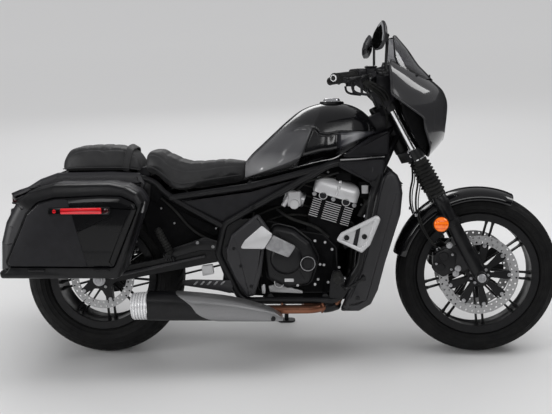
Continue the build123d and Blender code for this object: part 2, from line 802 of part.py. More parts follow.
with BuildPart() as neck_panels:
    add(slab([(946, 783), (1118, 794), (1108, 700), (1090, 672), (946, 757)], 70, 94, 8))
    mirror(about=Plane.XZ)
    add(frame.part, mode=Mode.SUBTRACT)

# ---------------------------------------------------------------- tank and seats

tank_sections = (
    {"x": 575, "bottom": 696, "top": 712, "low": 44, "high": 34},
    {"x": 640, "bottom": 711, "top": 816, "low": 92, "high": 62},
    {"x": 727, "bottom": 733, "top": 901, "low": 120, "high": 92},
    {"x": 870, "bottom": 769, "top": 994, "low": 132, "high": 112},
    {"x": 990, "bottom": 800, "top": 991, "low": 112, "high": 112},
    {"x": 1056, "bottom": 815, "top": 950, "low": 78, "high": 86},
    {"x": 1092, "bottom": 840, "top": 896, "low": 44, "high": 44},
)

with BuildPart() as fuel_tank:
    for part_of in tank_sections:
        add(dome_section(part_of["x"], part_of["bottom"], part_of["top"], part_of["low"],
                         part_of["high"]))
    loft()
    with BuildSketch(Plane.XY.offset(1001)):
        with Locations((917, 0)):
            Circle(44)
    extrude(amount=-30)
    add(frame.part, mode=Mode.SUBTRACT)

with BuildPart() as tank_cap:
    with BuildSketch(Plane.XY.offset(1001)):
        with Locations((917, 0)):
            Circle(37)
    extrude(amount=19, taper=8)
    add(fuel_tank.part, mode=Mode.SUBTRACT)

rider_seat_sections = (
    {"x": 188, "bottom": 742, "top": 823, "low": 118, "high": 96},
    {"x": 240, "bottom": 725, "top": 817, "low": 138, "high": 118},
    {"x": 300, "bottom": 664, "top": 784, "low": 140, "high": 122},
    {"x": 400, "bottom": 678, "top": 767, "low": 128, "high": 108},
    {"x": 566, "bottom": 700, "top": 776, "low": 72, "high": 56},
)

with BuildPart() as rider_seat:
    for part_of in rider_seat_sections:
        add(dome_section(part_of["x"], part_of["bottom"], part_of["top"], part_of["low"],
                         part_of["high"]))
    loft()
    add(frame.part, mode=Mode.SUBTRACT)
    add(rear_subframe.part, mode=Mode.SUBTRACT)

fender_radius = 448
fender_edge = 398             # distance of the mudguard's side edges from the axle
fender_half = rail_half - rail_tube - soft_gap

with BuildPart() as fender_block:
    with BuildSketch(Plane(origin=rear_axle, x_dir=(0, 1, 0), z_dir=(1, 0, 0))):
        with BuildLine():
            ThreePointArc((-fender_half - soft_gap, fender_edge), (0, fender_radius + soft_gap),
                          (fender_half + soft_gap, fender_edge))
            Polyline((fender_half + soft_gap, fender_edge), (fender_half + soft_gap, tyre_radius),
                     (-fender_half - soft_gap, tyre_radius),
                     (-fender_half - soft_gap, fender_edge))
        make_face()
    revolve(axis=Axis(rear_axle, (0, 1, 0)))

passenger_seat_sections = (
    {"x": -146, "bottom": 744, "top": 786, "low": 84, "high": 70},
    {"x": -120, "bottom": 743, "top": 828, "low": 104, "high": 84},
    {"x": -60, "bottom": 743, "top": 842, "low": 116, "high": 96},
    {"x": 60, "bottom": 743, "top": 842, "low": 120, "high": 100},
    {"x": 135, "bottom": 743, "top": 826, "low": 116, "high": 96},
    {"x": 176, "bottom": 742, "top": 766, "low": 104, "high": 92},
)

with BuildPart() as passenger_seat:
    for part_of in passenger_seat_sections:
        add(dome_section(part_of["x"], part_of["bottom"], part_of["top"], part_of["low"],
                         part_of["high"]))
    loft()
    add(fender_block.part, mode=Mode.SUBTRACT)

with BuildPart() as side_covers:
    add(slab([(318, 630), (600, 668), (858, 738), (512, 552), (492, 540)], frame_half - 16,
             frame_half - 6, 7))
    mirror(about=Plane.XZ)
    add(frame.part, mode=Mode.SUBTRACT)
    add(rear_subframe.part, mode=Mode.SUBTRACT)

# ---------------------------------------------------------------- tail

with BuildPart() as rear_fender:
    add(curved_band(rear_axle, fender_radius, fender_edge, fender_half, 58, 142))
    add(rear_subframe.part, mode=Mode.SUBTRACT)

with BuildPart() as tail_lamp:
    add(slab([(-270, 668), (-322, 668), (-357, 655), (-357, 618), (-320, 612)], -62, 62, 4))
    add(across(0, axle_height, fender_radius, 200), mode=Mode.SUBTRACT)

plate_hole_gap = 120
plate_hole_radius = 3
plate_thickness = 4
plate_face = Plane(origin=(-368, 0, 520), x_dir=(0, 1, 0), z_dir=(-1, 0, 0.06))

with BuildPart() as plate_holder:
    with BuildSketch(plate_face):
        RectangleRounded(150, 150, 8)
    extrude(amount=-plate_thickness)
    add(slab([(-330, 560), (-300, 600), (-345, 606), (-360, 590), (-364, 540)], -40, 40, 6))
    for side in (-1, 1):
        add(rod((-352, side * 30, 580), (-352, side * 138, 580), 7))
        add(rod((-352, side * 132, 580), (-352, side * 168, 580), 22))
    with BuildSketch(plate_face):
        with Locations((-plate_hole_gap / 2, 0), (plate_hole_gap / 2, 0)):
            Circle(plate_hole_radius)
    extrude(amount=-30, mode=Mode.SUBTRACT)
    add(rear_fender.part, mode=Mode.SUBTRACT)
    add(tail_lamp.part, mode=Mode.SUBTRACT)

# ---------------------------------------------------------------- swingarm and drive

bobbin = (112, 348)            # bolt holes for paddock-stand bobbins
bobbin_radius = 4.2

with BuildPart() as swingarm:
    add(slab([(600, 466), (560, 468), (96, 372), (-34, 350), (-34, 296), (120, 322), (442, 384),
              (600, 410)], arm_inner, arm_outer, 10))
    add(rod((60, -arm_outer + 4, 342), (60, -frame_half - 24, 342), 8))
    mirror(about=Plane.XZ)
    add(across(392, 404, 26, arm_inner + 4))
    add(across(*pivot, 24, arm_outer + 2))
    add(across(*pivot, pivot_radius, frame_half + 12))
    add(across(0, axle_height, axle_radius, arm_outer + 14))
    add(across(bobbin[0], bobbin[1], bobbin_radius, 200), mode=Mode.SUBTRACT)

shock_low = Vector(60, -frame_half - 8, 342)
shock_high = Vector(178, -frame_half - 8, 652)
shock_run = shock_high - shock_low

with BuildPart() as rear_shocks:
    add(rod(shock_low + shock_run * 0.06, shock_low + shock_run * 0.2, 14))
    add(rod(shock_low + shock_run * 0.2, shock_low + shock_run * 0.84, 22))
    add(rod(shock_low + shock_run * 0.84, shock_low + shock_run * 0.94, 14))
    for eye in (shock_low, shock_high):
        add(rod(eye - Vector(0, 13, 0), eye + Vector(0, 13, 0), 20))
    mirror(about=Plane.XZ)
    add(swingarm.part, mode=Mode.SUBTRACT)
    add(rear_subframe.part, mode=Mode.SUBTRACT)

with BuildPart() as rear_caliper:
    add(slab([(-30, 452), (40, 462), (58, 412), (30, 396), (-28, 400)], 66, 112, 10))
    with BuildSketch(wheel_plane(rear_axle, rear_disc_side - 8)):
        Circle(rear_disc_radius + 7)
    extrude(amount=16, mode=Mode.SUBTRACT)
    add(slab([(-6, 352), (24, 352), (24, 420), (-6, 420)], 100, arm_inner, 4))

# ---------------------------------------------------------------- footrests

with BuildPart() as rider_footrests:
    add(slab([(900, 252), (960, 252), (958, 330), (945, 358), (915, 358), (905, 320)],
             frame_half + frame_tube - 4, frame_half + frame_tube + 8, 8))
    add(rod((932, -frame_half - 20, 340), (932, -275, 340), 15))
    add(bent_rod([(950, -frame_half - 20, 300), (968, -196, 292), (1022, -208, 330),
                  (1034, -212, 338)], 6, [14, 20]))
    add(rod((1030, -196, 338), (1030, -240, 338), 9))
    mirror(about=Plane.XZ)
    add(frame.part, mode=Mode.SUBTRACT)

with BuildPart() as passenger_pegs:
    add(slab([(478, 470), (420, 490), (395, 478), (250, 425), (262, 402), (400, 440),
              (476, 440)], frame_half - 8, frame_half + 4, 8))
    add(rod((287, -frame_half - 4, 420), (287, -frame_half - 26, 420), 12))
    add(rod((287, -frame_half - 18, 432), (240, -frame_half - 18, 520), 13))
    mirror(about=Plane.XZ)
    add(frame.part, mode=Mode.SUBTRACT)

# ---------------------------------------------------------------- side cases

case_outline = [(-264, 655), (-202, 694), (-108, 718), (96, 720), (151, 708), (199, 682),
                (221, 644), (122, case_floor), (-326, case_floor + 4), (-330, 400)]
lid_outline = [(-210, 610), (-165, 652), (-102, 668), (64, 676), (138, 674), (188, 650),
               (200, 625), (108, 408), (-282, 412), (-286, 450)]

lid_seat = 8                  # width of the rim under the lid
hinge = (lid_outer - 4, 400)  # lid hinge line: distance out and height
knuckle_radius = 5
knuckle_length = 30
hinge_starts = (-210, 30)
case_rim = 14                 # raised frame round the lid


def case_block(outline, out, depth, grow=0, taper=0):
    """Rounded block with a case's side outline, from a distance out, grown all round."""
    with BuildPart() as block:
        with BuildSketch(Plane.XZ.offset(out)):
            with BuildLine():
                FilletPolyline(*outline, radius=17, close=True)
            make_face()
            if grow:
                offset(amount=grow, mode=Mode.REPLACE)
        extrude(amount=depth, taper=taper)
    return block.part


def knuckle(start, end):
    """Round hinge knuckle along the hinge line, between two X positions."""
    return rod((start, -hinge[0], hinge[1]), (end, -hinge[0], hinge[1]), knuckle_radius)


with BuildPart() as right_case:
    add(case_block(case_outline, case_inner, case_outer - case_inner))
    add(case_block(case_outline, case_outer, case_rim, taper=30))
    add(case_block(case_outline, case_inner + case_wall,
                   case_outer - case_inner - 2 * case_wall, -case_wall), mode=Mode.SUBTRACT)
    add(case_block(lid_outline, case_outer - 2 * case_wall, 60, -lid_seat), mode=Mode.SUBTRACT)
    add(case_block(lid_outline, case_outer, 60, lid_seam), mode=Mode.SUBTRACT)
    for start in hinge_starts:
        add(knuckle(start, start + knuckle_length))
        add(slab([(start, hinge[1] - 5), (start + knuckle_length, hinge[1] - 5),
                  (start + knuckle_length, hinge[1] + 2), (start, hinge[1] + 2)],
                 case_outer + 5, hinge[0]))

with BuildPart() as left_case:
    add(right_case.part.mirror(Plane.XZ))

with BuildPart() as right_lid:
    add(case_block(lid_outline, case_outer + soft_gap, lid_outer - case_outer - soft_gap,
                   taper=12))
    add(case_block(lid_outline, case_outer, lid_outer - case_outer - case_wall, -lid_seat, 12),
        mode=Mode.SUBTRACT)
    for start in hinge_starts:
        first = start + knuckle_length + soft_gap
        last = start + 2 * knuckle_length
        add(knuckle(first, last))
        add(slab([(first, hinge[1]), (last, hinge[1]), (last, hinge[1] + 24),
                  (first, hinge[1] + 24)], hinge[0] - 5, hinge[0] + 1))

with BuildPart() as left_lid:
    add(right_lid.part.mirror(Plane.XZ))

# ---------------------------------------------------------------- side stand

with BuildPart() as side_stand:
    add(bent_rod([stand_pivot, stand_foot + floor_normal * 60, stand_foot + floor_normal * 5],
                 9, [30]))
    add(rod(stand_pivot - stand_axis * stand_hub_half, stand_pivot + stand_axis * stand_hub_half,
            17))
    with BuildSketch(Plane(origin=stand_foot, x_dir=(1, 0, 0), z_dir=floor_normal)):
        SlotOverall(76, 40)
    extrude(amount=8)
    add(rod(stand_pivot - stand_axis * 20, stand_pivot + stand_axis * 20,
            stand_pin + running_fit), mode=Mode.SUBTRACT)

# ---------------------------------------------------------------- parked and written out

pieces = {
    "front_tyre": front_tyre, "front_rim": front_rim, "front_discs": front_discs,
    "rear_tyre": rear_tyre, "rear_rim": rear_rim, "rear_disc": rear_disc,
    "rear_pulley": rear_pulley,
    "fork_tubes": fork_tubes, "fork_gaiters": fork_gaiters, "fork_sliders": fork_sliders,
    "front_calipers": front_calipers, "triple_clamps": triple_clamps,
    "handlebar": handlebar, "grips": grips, "hand_controls": hand_controls,
    "mirrors": mirrors, "fairing": fairing, "headlamp": headlamp,
    "windscreen": windscreen, "cockpit": cockpit, "front_fender": front_fender,
    "front_signals": front_signals, "brake_hoses": brake_hoses,
    "frame": frame, "rear_subframe": rear_subframe, "engine_case": engine_case,
    "cylinder_block": cylinder_block, "head_cover": head_cover,
    "engine_covers": engine_covers, "header_pipes": header_pipes, "muffler": muffler,
    "radiator": radiator, "radiator_shrouds": radiator_shrouds,
    "side_guards": side_guards, "pivot_covers": pivot_covers,
    "neck_panels": neck_panels, "fuel_tank": fuel_tank, "tank_cap": tank_cap,
    "rider_seat": rider_seat, "passenger_seat": passenger_seat,
    "side_covers": side_covers, "rear_fender": rear_fender, "tail_lamp": tail_lamp,
    "plate_holder": plate_holder, "swingarm": swingarm, "rear_shocks": rear_shocks,
    "drive_belt": drive_belt, "rear_caliper": rear_caliper,
    "rider_footrests": rider_footrests, "passenger_pegs": passenger_pegs,
    "right_case": right_case, "left_case": left_case,
    "right_lid": right_lid, "left_lid": left_lid, "side_stand": side_stand,
}

leaned = Location((0, 0, 0), (-park_lean, 0, 0))
for piece in pieces.values():
    piece.part.move(leaned)
box = Compound([piece.part for piece in pieces.values()]).bounding_box()
set_down = Location(((-box.min.X - box.max.X) / 2, (-box.min.Y - box.max.Y) / 2, -box.min.Z))
parked = set_down * leaned            # from the upright drawing to the parked pose
for name, piece in pieces.items():
    piece.part.move(set_down)
    piece.part.label = name
    export_step(piece.part, f"parts/{name}.step")
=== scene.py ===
"""Looks of the touring cruiser motorcycle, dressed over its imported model.

Pieces are drawn on the upright motorcycle in millimetres: X forwards from the rear
axle, Y to the rider's left and Z up from the floor. BIKE leans and places them.
"""

import json
from functools import partial
from math import asin, cos, exp, pi, radians, sin, sqrt, tan

import bmesh
import bpy
from mathutils import Matrix, Vector


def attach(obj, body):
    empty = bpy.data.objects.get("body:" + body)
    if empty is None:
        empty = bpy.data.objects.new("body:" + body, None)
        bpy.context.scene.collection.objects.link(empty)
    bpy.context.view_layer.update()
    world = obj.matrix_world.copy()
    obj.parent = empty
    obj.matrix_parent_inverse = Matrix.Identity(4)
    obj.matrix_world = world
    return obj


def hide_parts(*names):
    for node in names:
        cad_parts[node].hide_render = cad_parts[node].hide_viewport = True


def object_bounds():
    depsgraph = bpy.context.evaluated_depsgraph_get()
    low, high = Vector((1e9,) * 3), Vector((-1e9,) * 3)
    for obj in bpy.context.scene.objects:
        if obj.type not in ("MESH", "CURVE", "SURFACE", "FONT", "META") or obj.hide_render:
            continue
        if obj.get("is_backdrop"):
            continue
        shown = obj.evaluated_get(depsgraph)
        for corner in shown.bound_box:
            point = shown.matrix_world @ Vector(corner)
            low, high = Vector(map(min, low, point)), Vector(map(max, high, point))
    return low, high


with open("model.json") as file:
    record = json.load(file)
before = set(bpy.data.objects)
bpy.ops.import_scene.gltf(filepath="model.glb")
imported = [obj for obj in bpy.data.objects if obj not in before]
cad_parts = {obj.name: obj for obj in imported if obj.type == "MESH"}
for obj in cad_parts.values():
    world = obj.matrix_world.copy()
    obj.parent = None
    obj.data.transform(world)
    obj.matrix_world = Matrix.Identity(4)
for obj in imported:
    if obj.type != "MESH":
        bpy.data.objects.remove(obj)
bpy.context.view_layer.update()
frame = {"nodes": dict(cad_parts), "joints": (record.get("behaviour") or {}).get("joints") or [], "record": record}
nodes = frame["nodes"]
joint_at = {joint["name"]: Vector(joint["pos_m"]) for joint in frame["joints"]}

# ---------------------------------------------------------------- driving sizes

MM = 0.001
PARK_LEAN = radians(9)
AXLE_HEIGHT = 320
WHEELBASE = 1490
RAKE = radians(27.5)
FORK_OFFSET = 35
FORK_HALF = 110

SIDES = (-1, 1)
WORD = {-1: "right", 1: "left"}
UP, FORWARD = Vector((0, 0, 1)), Vector((1, 0, 0))
RIGHT, LEFT = Vector((0, -1, 0)), Vector((0, 1, 0))

tilt = Matrix.Rotation(-PARK_LEAN, 4, "X")
hub_on_bike = Vector((0, 0, AXLE_HEIGHT)) * MM
BIKE = Matrix.Translation(joint_at["rear_wheel_spin"] - tilt @ hub_on_bike) @ tilt

FRONT_AXLE = Vector((WHEELBASE, 0, AXLE_HEIGHT))
REAR_AXLE = Vector((0, 0, AXLE_HEIGHT))
UP_FORK = Vector((-sin(RAKE), 0, cos(RAKE)))
AHEAD = Vector((cos(RAKE), 0, sin(RAKE)))


def on_fork(distance, side=0):
    """Point on a fork leg's axis, by its distance up from the axle."""
    return FRONT_AXLE + UP_FORK * distance + Vector((0, side * FORK_HALF, 0))


def on_stem(distance):
    """Point on the steering axis, level with that distance up the fork."""
    return on_fork(distance) - AHEAD * FORK_OFFSET


def placed(origin, z_dir=UP, x_dir=FORWARD):
    """Frame at a point of the upright motorcycle, by its z and x directions."""
    z_axis, guide = Vector(z_dir).normalized(), Vector(x_dir)
    if abs(guide.normalized().dot(z_axis)) > 0.98:
        guide = UP
    y_axis = z_axis.cross(guide).normalized()
    turn = Matrix((y_axis.cross(z_axis), y_axis, z_axis)).transposed().to_4x4()
    return Matrix.Translation(Vector(origin) * MM) @ turn


# ---------------------------------------------------------------- camera

CAMERA_AT = Vector((845, -3722, 1032))
CAMERA_PITCH, CAMERA_YAW, CAMERA_ROLL = radians(6.83), radians(-2.36), radians(-0.70)
CAMERA_LENS = 60.96


def camera_frame():
    """The camera's place and turn, held in the leaning motorcycle's own frame."""
    forward = Vector((sin(CAMERA_YAW) * cos(CAMERA_PITCH), cos(CAMERA_YAW) * cos(CAMERA_PITCH),
                      -sin(CAMERA_PITCH)))
    level = Vector((cos(CAMERA_YAW), -sin(CAMERA_YAW), 0))
    above = level.cross(forward)
    across = cos(CAMERA_ROLL) * level + sin(CAMERA_ROLL) * above
    upward = cos(CAMERA_ROLL) * above - sin(CAMERA_ROLL) * level
    turn = Matrix((across, upward, -forward)).transposed().to_4x4()
    return BIKE @ Matrix.Translation(CAMERA_AT * MM) @ turn


def in_scene(name, data):
    """New object in the scene."""
    thing = bpy.data.objects.new(name, data)
    bpy.context.collection.objects.link(thing)
    return thing


camera = in_scene("camera", bpy.data.cameras.new("camera"))
camera.data.lens = CAMERA_LENS
camera.data.sensor_width = 36
camera.data.clip_end = 200
camera.matrix_world = camera_frame()
bpy.context.scene.camera = camera
bpy.context.scene.view_settings.view_transform = "Standard"

# ---------------------------------------------------------------- materials


class Finish:
    """A node material: its base values, then detail that varies over the surface."""

    def __init__(self, name, colour, roughness, **sockets):
        self.material = bpy.data.materials.new(name)
        self.material.use_nodes = True
        self.material.diffuse_color = (*colour, 1)
        self.tree = self.material.node_tree
        self.surface = self.tree.nodes["Principled BSDF"]
        self.colour = colour
        self.surface.inputs["Base Color"].default_value = (*colour, 1)
        self.surface.inputs["Roughness"].default_value = roughness
        for socket, value in sockets.items():
            self.surface.inputs[socket.replace("_", " ")].default_value = value
        self.place = self.add("TexCoord").outputs["Object"]
        self.normal = None

    def add(self, kind, values=(), links=(), **settings):
        """New node with its settings, its inputs' values and the links into them."""
        node = self.tree.nodes.new(f"ShaderNode{kind}")
        for setting, value in settings.items():
            setattr(node, setting, value)
        for socket, value in dict(values).items():
            node.inputs[socket].default_value = value
        for socket, source in dict(links).items():
            self.link(source, node.inputs[socket])
        return node

    def link(self, source, target):
        self.tree.links.new(source, target)

    def noise(self, scale, detail=4, stretch=None):
        """Noise over the surface, in cycles per metre, scaled along each axis by a stretch."""
        noise = self.add("TexNoise", {"Scale": scale, "Detail": detail})
        place = self.place
        if stretch:
            place = self.add("Mapping", {"Scale": stretch}, {"Vector": place}).outputs[0]
        self.link(place, noise.inputs["Vector"])
        return noise.outputs["Fac"]

    def cells(self, scale):
        """Cell pattern over the surface, in cells per metre."""
        return self.add("TexVoronoi", {"Scale": scale}, {"Vector": self.place},
                        feature="DISTANCE_TO_EDGE").outputs["Distance"]

    def waves(self, scale, direction="X"):
        """Parallel bands along one axis; the pitch is pi / scale metres."""
        return self.add("TexWave", {"Scale": scale / 10}, {"Vector": self.place},
                        bands_direction=direction).outputs["Fac"]

    def ranged(self, value, low, high, start=0.3, stop=0.7):
        """A value stretched from one range to another."""
        return self.add("MapRange", {"From Min": start, "From Max": stop, "To Min": low,
                                     "To Max": high}, {"Value": value}).outputs["Result"]

    def both(self, first, second):
        """Product of two values."""
        return self.add("Math", links={0: first, 1: second}, operation="MULTIPLY").outputs[0]

    def axes(self):
        """The object coordinates' three parts."""
        return self.add("SeparateXYZ", links={0: self.place}).outputs

    def tint(self, value, other, start=0.35, stop=0.65):
        """Base colour blends towards another colour by a value."""
        base = self.surface.inputs["Base Color"]
        mix = self.add("Mix", data_type="RGBA")
        mix.inputs[6].default_value = (*self.colour, 1)
        if base.is_linked:
            self.link(base.links[0].from_socket, mix.inputs[6])
        mix.inputs[7].default_value = (*other, 1)
        self.link(self.ranged(value, 0, 1, start, stop), mix.inputs[0])
        self.link(mix.outputs[2], base)
        return self

    def rough(self, value, low, high):
        """Roughness varies by a value."""
        self.link(self.ranged(value, low, high), self.surface.inputs["Roughness"])
        return self

    def bump(self, value, height, strength=1.0):
        """Relief by a value, its height in millimetres."""
        bump = self.add("Bump", {"Distance": height * MM, "Strength": strength},
                        {"Height": value})
        if self.normal:
            self.link(self.normal, bump.inputs["Normal"])
        self.normal = bump.outputs["Normal"]
        self.link(self.normal, self.surface.inputs["Normal"])
        return self

    def soft_edges(self, radius, painted_edge_highlight=None):
        """Edges look rounded over a radius in millimetres, and are tinted towards a lighter colour as a painted
        edge highlight.
        """
        self.normal = self.add("Bevel", {"Radius": radius * MM}, samples=4).outputs["Normal"]
        self.link(self.normal, self.surface.inputs["Normal"])
        if painted_edge_highlight:
            flat = self.add("NewGeometry").outputs["Normal"]
            match = self.add("VectorMath", links={0: self.normal, 1: flat},
                             operation="DOT_PRODUCT")
            # Painted edge highlight: where the rounded normal turns away from the face, the colour goes lighter.
            self.tint(match.outputs["Value"], painted_edge_highlight, 0.97, 0.80)
        return self


def finished(name, colour, roughness, fleck=None, gloss=None, relief=None, edges=None,
             **sockets):
    """Finish with soft edges and with noise in its colour, roughness and relief.

    fleck is (scale, detail, colour, stretch), gloss (scale, detail, low, high) and
    relief (scale, detail, height); edges is (radius, lighter colour of a painted edge highlight).
    """
    finish = Finish(name, colour, roughness, **sockets)
    if edges:
        finish.soft_edges(*edges)
    if fleck:
        scale, detail, other, *stretch = fleck
        finish.tint(finish.noise(scale, detail, *stretch), other)
    if gloss:
        finish.rough(finish.noise(*gloss[:2]), *gloss[2:])
    if relief:
        finish.bump(finish.noise(*relief[:2]), relief[2])
    return finish


def gloss_black(name="gloss_black_paint"):
    return finished(name, (0.0030, 0.0030, 0.0036), 0.24, (900, 2, (0.0055, 0.0055, 0.0065)),
                    (7, 3, 0.18, 0.28), (260, 2, 0.012), (1.2,), Coat_Weight=0.9,
                    Coat_Roughness=0.035, Specular_IOR_Level=0.16)


def tank_paint():
    """Black gloss with painted reflections and highlights: the rear flanks behind the crease are tinted grey as a
    painted reflection, their lower part lighter still as a painted highlight, and the front panel is tinted
    lighter as a painted reflection with a painted highlight blob on it.
    """
    finish = gloss_black("tank_paint")
    finish.surface.inputs["Coat Roughness"].default_value = 0.11
    x, _, z = finish.axes()
    slanted = finish.add("Math", {1: -0.43}, {0: z, 2: x}, operation="MULTIPLY_ADD").outputs[0]
    # Painted reflection: the rear flank behind the crease and under the brow, tinted dark grey.
    flank = finish.both(finish.ranged(slanted, 0, 1, 0.456, 0.450),
                        finish.ranged(z, 0.12, 1, 0.925, 0.885))
    finish.tint(flank, (0.060, 0.060, 0.064), 0, 1)
    # Painted highlight: the lower part of that flank, tinted a lighter grey.
    painted_low_flank_highlight = finish.both(flank, finish.ranged(z, 0, 1, 0.815, 0.745))
    finish.tint(painted_low_flank_highlight, (0.200, 0.200, 0.205), 0, 1)
    # A slanted band across the front panel, for a painted highlight.
    painted_glow = finish.both(finish.ranged(slanted, 0, 1, 0.590, 0.625),
                       finish.ranged(slanted, 1, 0, 0.635, 0.665))
    # Painted reflection: the front panel tinted lighter, with a painted highlight blob where the band crosses it.
    panel = finish.both(finish.ranged(x, 0, 1, 0.930, 0.950),
                        finish.ranged(z, 0, 1, 0.890, 0.885))
    finish.tint(panel, (0.045, 0.045, 0.052), 0, 1)
    return finish.tint(finish.both(panel, painted_glow), (0.28, 0.28, 0.29), 0, 1)


def fairing_paint():
    """Graphite pearl gloss of the fairing and its lamp surround."""
    finish = gloss_black("fairing_paint")
    return finish.tint(finish.noise(5, 2), (0.030, 0.030, 0.032), 0.0, 0.25)


def bronze(name="heat_tinted_pipe"):
    finish = Finish(name, (0.25, 0.092, 0.050), 0.36, Metallic=0.8)
    finish.tint(finish.noise(9, 4, (1, 3, 3)), (0.33, 0.15, 0.09))
    finish.tint(finish.noise(30, 5), (0.17, 0.08, 0.05), 0.6, 0.85)
    finish.rough(finish.noise(60, 5), 0.26, 0.46)
    return finish.bump(finish.noise(700, 3), 0.03)


def header_bronze():
    """Heat-tinted bronze low down, black above the bend."""
    finish = bronze("header_bronze")
    return finish.tint(finish.axes()["Z"], (0.006, 0.006, 0.006), 0.235, 0.262)


def black_plastic():
    finish = finished("black_moulded_plastic", (0.0052, 0.0050, 0.0066), 0.5,
                      (35, 5, (0.008, 0.0078, 0.0102)), (50, 5, 0.42, 0.60),
                      edges=(1.5, (0.018, 0.018, 0.022)), Specular_IOR_Level=0.3)
    return finish.bump(finish.cells(900), 0.05)


def leather():
    finish = finished("black_leather", (0.015, 0.015, 0.016), 0.50,
                      (30, 6, (0.021, 0.021, 0.022)), (120, 4, 0.45, 0.62),
                      Specular_IOR_Level=0.4, Sheen_Weight=0.06, Sheen_Roughness=0.5)
    finish.bump(finish.cells(420), 0.22, 0.7)
    return finish.bump(finish.noise(1500, 3), 0.05)


def bright_tip():
    """Polished steel of the silencer's tip, with painted shade in its grooves: bands along it tinted darker."""
    finish = Finish("bright_tip", (0.88, 0.88, 0.89), 0.28, Metallic=0.35)
    # Painted shade: darker bands along the tip for its grooves.
    finish.tint(finish.waves(300), (0.50, 0.50, 0.52), 0.55, 0.95)
    finish.rough(finish.noise(200, 3), 0.24, 0.34)
    return finish.bump(finish.noise(600, 2), 0.02)


def smoked_lens():
    finish = Finish("smoked_lens", (0.02, 0.004, 0.005), 0.16, Coat_Weight=0.8,
                    Coat_Roughness=0.05)
    finish.tint(finish.waves(180), (0.05, 0.006, 0.008))
    finish.rough(finish.noise(20, 3), 0.12, 0.2)
    return finish.bump(finish.waves(260, "Z"), 0.1)


def lamp_glass():
    finish = finished("lamp_glass", (0.93, 0.94, 0.95), 0.02, gloss=(20, 3, 0.01, 0.05),
                      Transmission_Weight=1.0, IOR=1.45)
    return finish.bump(finish.waves(160, "Y"), 0.25, 0.5)


def lens(name, colour, deep, painted_glow):
    """Ribbed plastic lens, over a lamp or a reflector; its faint emission is a painted glow."""
    finish = Finish(name, colour, 0.14, Coat_Weight=0.6, Coat_Roughness=0.05,
                    Emission_Color=(*colour, 1), Emission_Strength=painted_glow)
    finish.tint(finish.waves(220, "Z"), deep, 0.5, 1.0)
    finish.rough(finish.noise(40, 3), 0.10, 0.2)
    return finish.bump(finish.waves(220, "Z"), 0.4, 0.6)
